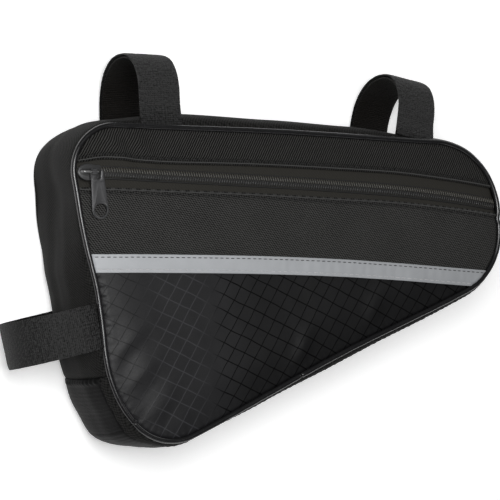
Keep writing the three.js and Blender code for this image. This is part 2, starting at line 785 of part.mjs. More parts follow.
function backPanel() {
  const shape = new THREE.Shape();
  const steps = 110;
  for (let step = 0; step < steps; step += 1) {
    const { point, outward } = outlineAt((outline.length * step) / steps);
    const rim = point.addScaledVector(outward, WALL_THICKNESS / 2);
    if (step === 0) {
      shape.moveTo(rim.x, rim.y);
    } else {
      shape.lineTo(rim.x, rim.y);
    }
  }
  shape.closePath();
  const geometry = new THREE.ExtrudeGeometry(shape, { depth: BACK_THICKNESS, bevelEnabled: false });
  return piece('back_panel', geometry, twill);
}

// A stretch of side wall between two distances round the outline and two heights.
function wallStretch(name, start, end, front, back, rows, look) {
  const columns = Math.max(2, Math.round((end - start) / WALL_STEP));
  const geometry = warpedBox(columns, rows, (u, v, w) => {
    const distance = lerp(start, end, u);
    const height = lerp(front, back, (1 - Math.cos(Math.PI * v)) / 2);
    const { point, outward } = outlineAt(distance);
    const offset = wallOutside(distance, height) - (1 - w) * WALL_THICKNESS;
    return new THREE.Vector3(point.x + outward.x * offset, point.y + outward.y * offset, height);
  });
  return piece(name, geometry, look);
}

function sideWalls() {
  const left = placeOn(LEFT_JOIN);
  const right = placeOn(RIGHT_JOIN);
  const gap = CLEARANCE / 2;
  const stripBack = WALL_FRONT - SEAM_STRIP_WIDTH;
  return [
    wallStretch('gusset_upper', left - outline.length + gap, right - gap, WALL_FRONT, WALL_BACK,
      WALL_ROWS, twill),
    wallStretch('gusset_lower', right + gap, left - gap, stripBack - CLEARANCE, WALL_BACK,
      WALL_ROWS, smoothCloth),
    wallStretch('gusset_seam_strip', right + gap, left - gap, WALL_FRONT, stripBack, 1, twill),
  ];
}

// Webbing loops

// How far out along a direction a point must go to clear the side wall at a height.
function wallReach(start, direction, height) {
  let reach = 0;
  for (let pass = 0; pass < 30; pass += 1) {
    const { depth, distance } = depthInside(start.x + direction.x * reach, start.y + direction.y * reach);
    const short = wallOutside(distance, height) + CLEARANCE + depth;
    if (Math.abs(short) < 0.005) {
      break;
    }
    reach += short;
  }
  return reach;
}

// One band of a loop. It leaves the wall near the front seam, arches over and comes back down near
// the back seam. sunk is how far the band's outside lies inside the loop's outside.
function strapBand(name, { corner, share, lean, reach: reachShare }, width, thickness, sunk, look) {
  const foot = outlineAt(placeOn({ corner, round: 'edge', share }));
  const out = foot.outward.clone().rotateAround(new THREE.Vector2(), radians(lean));
  const across = new THREE.Vector2(out.y, -out.x);
  const legRows = 2;
  const archRows = 12;
  const rows = 2 * legRows + archRows;
  const half = BAG_DEPTH / 2 - STRAP_INSET;
  const spring = STRAP_REACH * reachShare - half;
  const geometry = warpedBox(3, rows, (u, v, w) => {
    const side = (0.5 - u) * width;
    const radius = half - sunk - (1 - w) * thickness;
    const row = v * rows;
    const legShare = Math.max(row < legRows ? 1 - row / legRows : (row - rows) / legRows + 1, 0);
    const turn = THREE.MathUtils.clamp((row - legRows) / archRows, 0, 1);
    const height = BAG_DEPTH / 2 - radius * Math.cos(Math.PI * turn);
    const start = foot.point.clone().addScaledVector(across, side);
    const rise = spring + radius * Math.sin(Math.PI * turn);
    const reach = legShare > 0 ? lerp(spring, wallReach(start, out, height), legShare) : rise;
    const point = start.addScaledVector(out, reach);
    return new THREE.Vector3(point.x, point.y, height);
  });
  return piece(name, geometry, look);
}

function strapLoops() {
  return straps.flatMap((strap) => [
    strapBand(strap.name, strap, STRAP_WIDTH, STRAP_THICKNESS, 0, webbing),
    strapBand(`${strap.name}_lining`, strap, LINING_WIDTH, LINING_THICKNESS,
      STRAP_THICKNESS + CLEARANCE, webbing),
  ]);
}

// The middle of the corners lies over the origin.
function middleOfCorners() {
  const middle = new THREE.Vector2();
  corners.forEach((corner) => middle.add(cornerPoint(corner)));
  return middle.divideScalar(corners.length);
}

function bicycleBag() {
  const bag = new THREE.Group();
  bag.add(backPanel(), ...sideWalls());
  bag.add(frontUpperPanel(), frontMiddlePanel(), reflectiveStrip(), frontLowerPanel(), frontPiping());
  bag.add(zipTape('zip_tape_upper', 1), zipTape('zip_tape_lower', -1), zipCoil());
  bag.add(zipSlider(), zipPull());
  bag.add(...strapLoops());
  const middle = middleOfCorners();
  bag.position.set(-middle.x, -middle.y, 0);
  const part = new THREE.Group();
  part.add(bag);
  return part;
}

export default bicycleBag();
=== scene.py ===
import math

import bmesh
import bpy
import numpy as np
from mathutils import Matrix, Vector


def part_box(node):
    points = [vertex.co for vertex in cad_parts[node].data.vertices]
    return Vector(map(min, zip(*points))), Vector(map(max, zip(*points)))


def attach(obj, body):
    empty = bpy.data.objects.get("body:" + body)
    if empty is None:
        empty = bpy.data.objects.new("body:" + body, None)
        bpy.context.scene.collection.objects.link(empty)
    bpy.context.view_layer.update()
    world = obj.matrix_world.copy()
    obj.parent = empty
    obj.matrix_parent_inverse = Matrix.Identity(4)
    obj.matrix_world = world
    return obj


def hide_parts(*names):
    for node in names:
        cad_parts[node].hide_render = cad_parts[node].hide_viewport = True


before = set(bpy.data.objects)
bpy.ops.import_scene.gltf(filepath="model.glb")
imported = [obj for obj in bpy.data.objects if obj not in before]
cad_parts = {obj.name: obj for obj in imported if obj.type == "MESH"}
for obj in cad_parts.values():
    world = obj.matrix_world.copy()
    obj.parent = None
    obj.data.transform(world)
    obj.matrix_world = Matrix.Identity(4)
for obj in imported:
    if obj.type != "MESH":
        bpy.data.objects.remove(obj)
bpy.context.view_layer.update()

BAG_LENGTH = 288.7
BAG_HEIGHT = 184.4
BAG_DEPTH = 62.4
PIPING_RADIUS = 1.6
WALL_THICKNESS = 2.0
PANEL_THICKNESS = 1.5
CLEARANCE = 0.3
WALL_FRONT = BAG_DEPTH - 0.9
WALL_BACK = 1.4
WALL_ROUNDNESS = 0.4
DOME_HEIGHT = 3.0
DOME_RUN = 25.0
TUCK = 0.7
HEM_FOLD = 0.62
HEM_RIDGE = 0.95
HEM_STITCHES = 2.35
STRIP_WIDTH = 9.7
STRIP_THICKNESS = 1.0
STRIP_LIFT = 1.0
LOWER_PANEL_END = 262.0
SEAM_STRIP_WIDTH = 3.6
SEAM_STRIP_THICKNESS = 0.8
TAPE_DROP = 1.8
TAPE_REACH = 13.0
TAPE_THICKNESS = 1.0
TOOTH_PITCH = 1.55
SLIDER_X = 13.0
BAIL_OVER_BASE = 3.7
PULL_LENGTH = 21.2
PULL_WIDTH = 7.6
PULL_END_RADIUS = 5.0
STRAP_WIDTH = 25.0
STRAP_THICKNESS = 1.5
STRAP_REACH = 46.0
STRAP_INSET = 2.4
ARCH_POWER = 0.9
BACK_LEG_SPREAD = 0.05
LINING_WIDTH = 23.0
LINING_THICKNESS = 1.2
BACK_CENTRE = (118.0, -72.0)
BACK_INSIDE = 2.0
BINDING_RADIUS = 1.1

# name, along (of the length), down and radius (of the height), bow and wave (of the length)
CORNERS = [
    ("top_left", 0.0, 0.0, 0.141, 0.0037, 0.0),
    ("top_right", 0.984, 0.002, 0.235, -0.0028, 0.0005),
    ("right", 1.0, 0.426, 0.225, -0.0068, -0.0003),
    ("bottom", 0.196, 1.0, 0.171, -0.0022, -0.0021),
    ("left", 0.097, 0.83, 0.354, -0.0041, -0.0039),
]

# corner, part, then shares of the way with the wall's bulge there as a share of the depth
BULGES = [
    ("top_left", "corner", [(0.5, 0.058)]),
    ("top_left", "edge", [(0.25, 0.188), (0.5, 0.165), (0.75, 0.148), (0.98, 0.07)]),
    ("top_right", "corner", [(0.5, 0.064)]),
    ("top_right", "edge", [(0.5, 0.072)]),
    ("right", "corner", [(0.5, 0.075)]),
    ("right", "edge", [(0.25, 0.106), (0.5, 0.124), (0.75, 0.08), (0.96, 0.038)]),
    ("bottom", "corner", [(0.5, 0.07)]),
    ("bottom", "edge", [(0.1, 0.16)]),
    ("left", "corner", [(0.3, 0.118)]),
    ("left", "edge", [(0.25, 0.142), (0.5, 0.135), (0.72, 0.055), (0.94, 0.018)]),
]

# along (of the length), then heights below the top corner (of the height)
LINE_ALONG = [0.03, 0.08, 0.18, 0.4, 0.58, 0.73, 0.85, 0.965]
UPPER_HEM = [0.1166, 0.1045, 0.1115, 0.1066, 0.1085, 0.1128, 0.1264, 0.1437]
ZIP_LINE = [0.1513, 0.1475, 0.1495, 0.154, 0.1594, 0.167, 0.179, 0.1969]
LOWER_HEM = [0.1985, 0.1974, 0.1969, 0.1972, 0.2022, 0.2066, 0.2175, 0.2316]
STRIP_TOP = [0.399, 0.3986, 0.3964, 0.3943, 0.398, 0.4067, 0.4165, 0.4246]

# along, down, heading in degrees, reach, width and rise (of the height)
FRONT_FOLDS = [
    (0.1, 0.06, -52, 0.07, 0.024, 0.017),
    (0.155, 0.055, -56, 0.07, 0.024, 0.015),
    (0.135, 0.66, 48, 0.075, 0.028, 0.003),
    (0.155, 0.76, 45, 0.085, 0.03, 0.0032),
    (0.125, 0.71, 47, 0.07, 0.022, -0.0035),
    (0.195, 0.85, 55, 0.07, 0.03, 0.004),
    (0.51, 0.68, 68, 0.075, 0.026, 0.005),
    (0.68, 0.55, 66, 0.07, 0.03, 0.004),
]

# The ripstop's slack folds: x, y, heading in degrees, reach, width and rise, in mm
SLACK_FOLDS = [
    (33, -126, 50, 9, 2.6, 0.7),
    (38, -134, 47, 11, 2.4, -0.6),
    (42, -142, 46, 12, 2.8, 0.9),
    (48, -150, 50, 10, 2.6, -0.6),
    (50, -160, 56, 10, 2.8, 0.7),
    (60, -166, 62, 8, 2.6, -0.5),
    (70, -166, 66, 8, 3.0, 0.5),
    (30, -112, 60, 8, 2.8, -0.4),
]

# corner, share along its edge, share of the depth, reach, width and rise (of the depth)
WALL_FOLDS = [
    ("left", 0.86, 0.55, 0.3, 0.22, -0.022),
    ("left", 0.52, 0.68, 0.9, 0.1, 0.014),
    ("left", 0.5, 0.4, 0.9, 0.1, -0.014),
    ("top_left", 0.42, 0.5, 0.7, 0.3, -0.012),
    ("right", 0.45, 0.45, 0.9, 0.25, -0.012),
]

# corner, part, share of the way, reach and size in mm
BACK_TUCKS = [
    ("top_left", "corner", 0.05, 15.0, 2.4),
    ("bottom", "corner", 0.05, 14.0, 1.6),
    ("left", "corner", 0.85, 9.0, 1.3),
]

# name, corner, share along its edge, lean in degrees, reach as a share of the longest, and how far
# the back leg stands aside of the front one
STRAPS = [
    ("strap_top_left", "top_left", 0.135, 0, 1.0, 0.6),
    ("strap_top_right", "top_left", 0.929, -9, 0.93, 0.0),
    ("strap_side", "left", 0.208, 6.6, 0.985, -2.0),
]

ARC_STEPS = 32
EDGE_STEPS = 60
SPOTS_AT_ONCE = 4000
UP = np.array([0.0, 0.0, 1.0])


# Small helpers

def smoothstep(low, high, value):
    share = np.clip((value - low) / (high - low), 0.0, 1.0)
    return share * share * (3.0 - 2.0 * share)


def bell(value):
    return np.exp(-value * value)


def mix(start, end, share):
    return start + (end - start) * share


def swing(length):
    """A sine that repeats every 1."""
    return np.sin(2 * math.pi * length)


def unit(vectors):
    return vectors / np.linalg.norm(vectors, axis=-1, keepdims=True)


def shifted(line, off):
    return lambda x: line(x) + off


def turned(x, y, heading):
    """A vector seen from a heading in degrees: its part along the heading and its part to the left."""
    angle = math.radians(heading)
    return x * math.cos(angle) + y * math.sin(angle), y * math.cos(angle) - x * math.sin(angle)


def crease(x, y, middle, heading, reach, width):
    """How much of a long fold stands at each point, from 0 to 1."""
    run, side = turned(x - middle[0], y - middle[1], heading)
    return bell(run / reach) * bell(side / width)


class Ripple:
    """A smooth seeded noise over a plane, about -1 to 1, with features of about the given size."""

    def __init__(self, seed, size, count=9):
        dice = np.random.default_rng(seed)
        heading = dice.uniform(0, math.pi, count)
        pitch = size * dice.uniform(1.2, 3.2, count)
        self.step_x = np.cos(heading) * 2 * math.pi / pitch
        self.step_y = np.sin(heading) * 2 * math.pi / pitch
        self.start = dice.uniform(0, 2 * math.pi, count)
        self.scale = 1.5 / count

    def __call__(self, x, y):
        total = 0.0
        for step_x, step_y, start in zip(self.step_x, self.step_y, self.start):
            total = total + np.sin(step_x * x + step_y * y + start)
        return total * self.scale


SMALL_WRINKLES = Ripple(3, 9)
SEAM_PUCKERS = Ripple(5, 4)
BROAD_WAVES = Ripple(8, 30)


# Outline

def corner_point(corner):
    return np.array([corner[1] * BAG_LENGTH, -corner[2] * BAG_HEIGHT])


def corner_round(index):
    tip = corner_point(CORNERS[index])
    before = corner_point(CORNERS[index - 1]) - tip
    after = corner_point(CORNERS[(index + 1) % len(CORNERS)]) - tip
    shorter = min(np.hypot(*before), np.hypot(*after))
    before, after = unit(before), unit(after)
    half = math.acos(float(before @ after)) / 2
    radius = min(CORNERS[index][3] * BAG_HEIGHT, 0.55 * shorter * math.tan(half))
    reach = radius / math.tan(half)
    middle = tip + unit(before + after) * radius / math.sin(half)
    return middle, radius, tip + before * reach, tip + after * reach


def make_outline():
    rounds = [corner_round(index) for index in range(len(CORNERS))]
    points, marks = [], {}
    for index, (middle, radius, start, end) in enumerate(rounds):
        name, _, _, _, bow, wave = CORNERS[index]
        first = math.atan2(start[1] - middle[1], start[0] - middle[0])
        last = math.atan2(end[1] - middle[1], end[0] - middle[0])
        turn = -((first - last) % (2 * math.pi))
        corner_from = len(points)
        for step in range(ARC_STEPS + 1):
            angle = first + turn * step / ARC_STEPS
            points.append(middle + radius * np.array([math.cos(angle), math.sin(angle)]))
        edge_from = len(points) - 1
        run = rounds[(index + 1) % len(rounds)][2] - end
        outward = unit(np.array([-run[1], run[0]]))
        for share in np.arange(1, EDGE_STEPS) / EDGE_STEPS:
            swell = math.sin(math.pi * share)
            off = BAG_LENGTH * swell * (bow * swell + wave * math.sin(2 * math.pi * share))
            points.append(end + run * share + outward * off)
        marks[name] = (corner_from, edge_from, len(points))
    points = np.array(points)
    steps = np.hypot(*(np.roll(points, -1, axis=0) - points).T)
    run = np.roll(points, -1, axis=0) - np.roll(points, 1, axis=0)
    outwards = unit(np.stack([-run[:, 1], run[:, 0]], axis=1))
    return points, np.concatenate([[0.0], np.cumsum(steps)]), outwards, marks


RIM, RIM_DISTANCE, RIM_OUTWARD, RIM_MARKS = make_outline()
RIM_LENGTH = float(RIM_DISTANCE[-1])


def outline_at(distance):
    """The outline's point and outward direction at a distance round it."""
    wrapped = np.mod(distance, RIM_LENGTH)

    def along(values):
        return np.interp(wrapped, RIM_DISTANCE, np.append(values, values[0]))
    point, outward = [np.stack([along(values[:, 0]), along(values[:, 1])], axis=-1)
                      for values in (RIM, RIM_OUTWARD)]
    return point, unit(outward)


def place_on(corner, part, share):
    corner_from, edge_from, last = RIM_MARKS[corner]
    low, high = (corner_from, edge_from) if part == "corner" else (edge_from, last)
    return mix(RIM_DISTANCE[low], RIM_DISTANCE[high], share)


def depth_inside(x, y):
    """Depth inside the outline, below zero outside, and the nearest distance round it."""
    spots = np.stack([np.ravel(x), np.ravel(y)], axis=1)
    start, end = RIM, np.roll(RIM, -1, axis=0)
    run = end - start
    square = np.sum(run * run, axis=1)
    depth, place = np.empty(len(spots)), np.empty(len(spots))
    for low in range(0, len(spots), SPOTS_AT_ONCE):
        some = slice(low, low + SPOTS_AT_ONCE)
        px, py = spots[some, :1], spots[some, 1:]
        part = spots[some, None, :] - start[None]
        share = np.clip(np.sum(part * run, axis=2) / square, 0, 1)
        gap = np.hypot(part[..., 0] - share * run[:, 0], part[..., 1] - share * run[:, 1])
        best = np.argmin(gap, axis=1)
        rows = np.arange(len(best))
        rising = (start[:, 1] > py) != (end[:, 1] > py)
        cut = start[:, 0] + (py - start[:, 1]) / np.where(rising, run[:, 1], 1.0) * run[:, 0]
        inside = np.sum(rising & (px < cut), axis=1) % 2 == 1
        depth[some] = np.where(inside, 1, -1) * gap[rows, best]
        place[some] = mix(RIM_DISTANCE[best], RIM_DISTANCE[best + 1], share[rows, best])
    return depth.reshape(np.shape(x)), place.reshape(np.shape(x))


# Front shape

def smooth_line(heights):
    """A smooth line across the bag through heights at LINE_ALONG, straight past its ends."""
    along, heights = np.array(LINE_ALONG), np.array(heights)
    first, last = [np.diff(heights[ends]) / np.diff(along[ends]) for ends in ([0, 1], [-2, -1])]
    slopes = np.concatenate([first, (heights[2:] - heights[:-2]) / (along[2:] - along[:-2]), last])

    def line(x):
        place = np.asarray(x, float) / BAG_LENGTH
        index = np.clip(np.searchsorted(along, place, side="right") - 1, 0, len(along) - 2)
        span = along[index + 1] - along[index]
        share = np.clip((place - along[index]) / span, 0, 1)
        square, cube = share ** 2, share ** 3
        down = (heights[index] * (2 * cube - 3 * square + 1) + heights[index + 1] * (3 * square - 2 * cube)
                + slopes[index] * span * (cube - 2 * square + share)
                + slopes[index + 1] * span * (cube - square))
        past = slopes[0] * np.minimum(place - along[0], 0) + slopes[-1] * np.maximum(place - along[-1], 0)
        return -BAG_HEIGHT * (down + past)
    return line


upper_hem, zip_line, lower_hem, strip_top = map(smooth_line, (UPPER_HEM, ZIP_LINE, LOWER_HEM, STRIP_TOP))


def inside_edge(corner, inset):
    """The inner side of an edge of the outline as a line across the bag, running on past its ends."""
    _, first, last = RIM_MARKS[corner]
    points = RIM[np.arange(first, last + 1) % len(RIM)]
    points = points[np.argsort(points[:, 0])]
    drop = inset / RIM_OUTWARD[round((first + last) / 2)][1]
    low, high = [(end - start)[1] / (end - start)[0] for start, end in (points[:2], points[-2:])]

    def line(x):
        past = low * np.minimum(x - points[0, 0], 0) + high * np.maximum(x - points[-1, 0], 0)
        return np.interp(x, points[:, 0], points[:, 1]) + past - drop
    return line


def dome_height(depth):
    return BAG_DEPTH + DOME_HEIGHT * np.sin(math.pi / 2 * np.clip(depth / DOME_RUN, 0, 1))


def plain_height(x, y, depth):
    """The front's outside over the back, without the finer wrinkles."""
    folds = 0.0
    for along, down, heading, reach, width, rise in FRONT_FOLDS:
        middle = (along * BAG_LENGTH, -down * BAG_HEIGHT)
        fold = crease(x, y, middle, heading, reach * BAG_HEIGHT, width * BAG_HEIGHT)
        folds = folds + rise * BAG_HEIGHT * fold
    return dome_height(depth) + folds * smoothstep(1.5, 12, depth)


def line_end(line, inset, start, direction):
    """Where a line runs out to an inset from the outline, found by halving."""
    near, far = start, -BAG_LENGTH if direction < 0 else 2 * BAG_LENGTH
    for _ in range(30):
        middle = (near + far) / 2
        depth, _ = depth_inside(np.array([middle]), np.array([float(line(middle))]))
        near, far = (middle, far) if depth[0] >= inset else (near, middle)
    return near


def line_ends(line, inset=1.9, start=BAG_LENGTH / 2):
    return line_end(line, inset, start, -1), line_end(line, inset, start, 1)


def front_grid(bottom, top, columns, rows, inset=TUCK, spread=None, start=BAG_LENGTH / 2, limit=None):
    """Rows across the front between two lines, cut off at an inset from the outline."""
    shares = np.linspace(0, 1, rows + 1)
    shares = shares if spread is None else spread(shares)
    x, y = np.empty((rows + 1, columns + 1)), np.empty((rows + 1, columns + 1))
    for row, share in enumerate(shares):
        def line(at, share=share):
            return mix(bottom(at), top(at), share)
        left, right = line_ends(line, inset, start)
        x[row] = np.linspace(left, right if limit is None else min(right, limit), columns + 1)
        y[row] = line(x[row])
    return x, y


# Wall shape

def bulge_at(distance):
    knots = sorted((place_on(corner, part, share), bulge * BAG_DEPTH)
                   for corner, part, spots in BULGES for share, bulge in spots)
    places, values = np.array([knots[-1], *knots, knots[0]]).T
    places[0] -= RIM_LENGTH
    places[-1] += RIM_LENGTH
    wrapped = np.mod(distance, RIM_LENGTH)
    index = np.clip(np.searchsorted(places, wrapped, side="right") - 1, 0, len(places) - 2)
    share = (wrapped - places[index]) / (places[index + 1] - places[index])
    return mix(values[index], values[index + 1], smoothstep(0, 1, share))


def round_run(distance, middle):
    return np.mod(distance - middle + RIM_LENGTH / 2, RIM_LENGTH) - RIM_LENGTH / 2


def wall_fold_at(distance, height):
    rise = 0.0
    for corner, share, depth, reach, width, size in WALL_FOLDS:
        along = round_run(distance, place_on(corner, "edge", share)) / (reach * BAG_DEPTH)
        across = (height / BAG_DEPTH - depth) / width
        rise = rise + size * BAG_DEPTH * np.exp(-along * along - across * across)
    return rise


def wall_outside(distance, height):
    share = np.clip((height - WALL_BACK) / (WALL_FRONT - WALL_BACK), 0, 1)
    roundness = np.power(np.sin(math.pi * share), WALL_ROUNDNESS)
    seam = WALL_THICKNESS / 2
    return seam + (bulge_at(distance) - seam + wall_fold_at(distance, height)) * roundness


# Meshes

SHIFT = np.append(-np.mean([corner_point(corner) for corner in CORNERS], axis=0), 0.0)


def to_metres(points):
    return (np.asarray(points, float).reshape(-1, 3) + SHIFT) / 1000


def show(thing):
    bpy.context.scene.collection.objects.link(thing)


def add_piece(name, mesh, material, body="bag", replaces=(), slot=None):
    mesh.polygons.foreach_set("use_smooth", [True] * len(mesh.polygons))
    mesh.materials.append(material)
    piece = bpy.data.objects.new(name, mesh)
    show(piece)
    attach(piece, body)
    if replaces:
        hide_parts(*replaces)


def add_mesh(name, material, points, faces, uv=None, tidy=True, **more):
    mesh = bpy.data.meshes.new(name)
    mesh.from_pydata(to_metres(points).tolist(), [], [tuple(face) for face in faces])
    if uv is not None:
        loops = np.empty(len(mesh.loops), dtype=np.int64)
        mesh.loops.foreach_get("vertex_index", loops)
        layer = mesh.uv_layers.new(name="UVMap")
        layer.data.foreach_set("uv", np.asarray(uv, float).reshape(-1, 2)[loops].ravel())
    if tidy:
        shape = bmesh.new()
        shape.from_mesh(mesh)
        bmesh.ops.recalc_face_normals(shape, faces=shape.faces)
        shape.to_mesh(mesh)
        shape.free()
    add_piece(name, mesh, material, **more)


def closed_sheet(outer, inner, uv, rounds=3):
    """A sheet with a round rim: its points, faces and UV."""
    rows, columns = outer.shape[:2]
    count = rows * columns
    index = np.arange(count).reshape(rows, columns)
    quads = np.stack([index[:-1, :-1], index[:-1, 1:], index[1:, 1:], index[1:, :-1]], axis=-1).reshape(-1, 4)
    outer, inner, uv = outer.reshape(-1, 3), inner.reshape(-1, 3), uv.reshape(-1, 2)
    points, coords, faces = [outer, inner], [uv, uv], [quads, quads[:, ::-1] + count]
    rim = np.concatenate([index[0, :], index[1:, -1], index[-1, -2::-1], index[-2:0:-1, 0]])
    row, column = np.divmod(rim, columns)
    next_in = np.clip(row, 1, rows - 2) * columns + np.clip(column, 1, columns - 2)
    middle = (outer[rim] + inner[rim]) / 2
    half = (outer[rim] - inner[rim]) / 2
    size = np.linalg.norm(half, axis=1, keepdims=True)
    out = outer[rim] - outer[next_in]
    out = unit(out - half * np.sum(out * half, axis=1, keepdims=True) / (size * size))
    rings = [rim]
    for ring in range(1, rounds + 1):
        angle = math.pi * ring / (rounds + 1)
        points.append(middle + half * math.cos(angle) + out * size * math.sin(angle) * 0.8)
        coords.append(uv[rim])
        rings.append(2 * count + (ring - 1) * len(rim) + np.arange(len(rim)))
    rings.append(rim + count)
    for first, second in zip(rings, rings[1:]):
        faces.append(np.stack([first, second, np.roll(second, -1), np.roll(first, -1)], axis=-1))
    return np.concatenate(points), np.concatenate(faces), np.concatenate(coords)


def ring_faces(rows, sides, closed=False):
    """Quads between one ring of points and the next."""
    low = np.arange(rows * sides).reshape(rows, sides)
    beside = np.roll(low, -1, axis=1)
    quads = np.stack([low, beside, np.roll(beside, -1, axis=0), np.roll(low, -1, axis=0)], axis=-1)
    return (quads if closed else quads[:-1]).reshape(-1, 4).tolist()


def end_faces(rows, sides, tips):
    """Triangles from the first and the last ring of points to a tip each."""
    last = (rows - 1) * sides
    return [[tips, (k + 1) % sides, k] for k in range(sides)] + [
        [tips + 1, last + k, last + (k + 1) % sides] for k in range(sides)]


def tube(path, radius, sides, up=UP, closed=False, squash=1.0):
    """A round tube along a path of points. up is a direction that isn't along the path."""
    path = np.asarray(path, float)
    count = len(path)
    run = np.roll(path, -1, axis=0) - np.roll(path, 1, axis=0) if closed else np.gradient(path, axis=0)
    run = unit(run)
    side = unit(np.cross(run, np.broadcast_to(up, path.shape)))
    over = np.cross(side, run)
    radius = np.broadcast_to(np.asarray(radius, float), (count,))[:, None, None]
    angle = np.linspace(0, 2 * math.pi, sides, endpoint=False)[None, :, None]
    ring = path[:, None] + radius * (np.cos(angle) * side[:, None] + squash * np.sin(angle) * over[:, None])
    points, faces = ring.reshape(-1, 3), ring_faces(count, sides, closed)
    if not closed:
        points = np.concatenate([points, [path[0], path[-1]]])
        faces += end_faces(count, sides, count * sides)
    return points, faces


def add_shapes(name, material, shapes, **more):
    """Many small shapes as one mesh."""
    starts = np.cumsum([0] + [len(points) for points, _ in shapes])
    faces = [[corner + start for corner in face] for start, (_, few) in zip(starts, shapes) for face in few]
    add_mesh(name, material, np.concatenate([points for points, _ in shapes]), faces, tidy=False, **more)


def capsule(start, end, radius, sides=6, rings=5, lift=0.0):
    """A short rounded bar from start to end, lifted in its middle."""
    share = (1 - np.cos(np.linspace(0, math.pi, rings + 2))) / 2
    path = mix(start, end, share[:, None]) + UP * (lift * np.sin(math.pi * share))[:, None]
    return tube(path, radius * np.sqrt(np.clip(1 - np.abs(2 * share - 1) ** 4, 0.02, 1)), sides)


def stitches(spots, pitch, length, radius, slant=0.0):
    """Thread stitches along a line of close spots, each half sunk in the cloth."""
    run = np.concatenate([[0], np.cumsum(np.linalg.norm(np.diff(spots, axis=0), axis=1))])
    shapes = []
    for number in range(int(run[-1] / pitch)):
        middle = (number + 0.5) * pitch
        start, end = [np.array([np.interp(middle + off, run, spots[:, k]) for k in range(3)])
                      for off in (-length / 2, length / 2)]
        side = unit(np.cross(end - start, UP)) * slant
        shapes.append(capsule(start + side, end - side, radius, lift=0.12))
    return shapes


# Materials

class Value:
    """A number that a material works out, with the usual arithmetic."""

    def __init__(self, nodes, socket):
        self.nodes, self.socket = nodes, socket

    def __add__(self, other):
        return self.nodes.math("ADD", self, other)

    def __sub__(self, other):
        return self.nodes.math("SUBTRACT", self, other)

    def __mul__(self, other):
        return self.nodes.math("MULTIPLY", self, other)

    def centred(self, size):
        """A noise from 0 to 1 spread evenly round zero."""
        return (self - 0.5) * size


class Nodes:
    """A short way to write a material's nodes, over the UV or the object's coordinates in mm."""

    def __init__(self, name, base, roughness, specular, metallic=0.0, coat=0.0, over_uv=False):
        self.material = bpy.data.materials.new(name)
        self.material.use_nodes = True
        self.tree = self.material.node_tree
        self.shader = self.tree.nodes["Principled BSDF"]
        self.base = base
        for socket, value in (("Base Color", (*base, 1)), ("Roughness", roughness), ("Metallic", metallic),
                              ("Specular IOR Level", specular), ("Coat Weight", coat),
                              ("Coat Roughness", 0.12)):
            self.shader.inputs[socket].default_value = value
        if over_uv:
            self.spot = self.node("UVMap", {}, uv_map="UVMap")
        else:
            metres = self.node("TexCoord", {}, "Object")
            self.spot = self.node("VectorMath", {0: metres, "Scale": 1000}, operation="SCALE")

    def link(self, source, target):
        if isinstance(source, (int, float, tuple)):
            target.default_value = source
        else:
            self.tree.links.new(source.socket if isinstance(source, Value) else source, target)

    def node(self, kind, inputs, output=0, **settings):
        node = self.tree.nodes.new("ShaderNode" + kind)
        for setting, value in settings.items():
            setattr(node, setting, value)
        for socket, source in inputs.items():
            self.link(source, node.inputs[socket])
        return node.outputs[output]

    def math(self, kind, *values):
        return Value(self, self.node("Math", dict(enumerate(values)), operation=kind))

    def axis(self, number):
        return Value(self, self.node("SeparateXYZ", {0: self.spot}, number))

    def along(self, heading, pitch):
        """The count of pitches run along a heading in degrees."""
        angle = math.radians(heading)
        run = (math.cos(angle) / pitch, math.sin(angle) / pitch, 0)
        return Value(self, self.node("VectorMath", {0: self.spot, 1: run}, "Value", operation="DOT_PRODUCT"))

    def wave(self, heading, pitch, phase=0.0):
        """A sine between -1 and 1."""
        return self.math("SINE", (self.along(heading, pitch) + phase) * (2 * math.pi))

    def noise(self, scale, detail=2.0, roughness=0.5, stretch=(1, 1, 1)):
        spot = self.node("VectorMath", {0: self.spot, 1: stretch}, operation="MULTIPLY")
        inputs = {"Vector": spot, "Scale": scale, "Detail": detail, "Roughness": roughness}
        return Value(self, self.node("TexNoise", inputs, "Fac"))

    def ramp(self, *values):
        """A smooth step: the value, its low and high ends, and what it gives at each."""
        return Value(self, self.node("MapRange", dict(enumerate(values)), interpolation_type="SMOOTHSTEP"))

    def scaled(self, factor):
        return (*(channel * factor for channel in self.base), 1)

    def shade(self, one, two, share):
        return self.node("Mix", {"Factor": share, "A": one, "B": two}, "Result", data_type="RGBA")

    def tint(self, low, high, tone):
        """Colours between two multiples of the base."""
        self.feed("Base Color", self.shade(self.scaled(low), self.scaled(high), tone))

    def feed(self, socket, source):
        self.link(source, self.shader.inputs[socket])

    def bump(self, height, distance, strength):
        inputs = {"Strength": strength, "Distance": distance / 1000, "Height": height}
        self.feed("Normal", self.node("Bump", inputs))


def twill_cloth(name, heading, pitch, base, contrast, cross, relief=0.26):
    """Diagonal ribs with a finer yarn across them."""
    cloth = Nodes(name, base, 0.85, 0.14, over_uv=True)
    rib = cloth.wave(heading, pitch, cloth.noise(0.35) * 0.5)
    weave = rib * (1 - cross) + cloth.wave(heading + 62, pitch * 0.82) * cross
    fleck = cloth.noise(0.8, 3.0, 0.7)
    patch = cloth.noise(0.05, 3.0, 0.55)
    cloth.tint(0.08, 2.2, weave * (0.5 * contrast) + 0.5 + fleck.centred(1.4) + patch.centred(0.3))
    cloth.feed("Roughness", cloth.ramp(weave, -1, 1, 0.9, 0.72))
    cloth.bump(weave + fleck * 0.8, relief, 0.9)
    return cloth.material


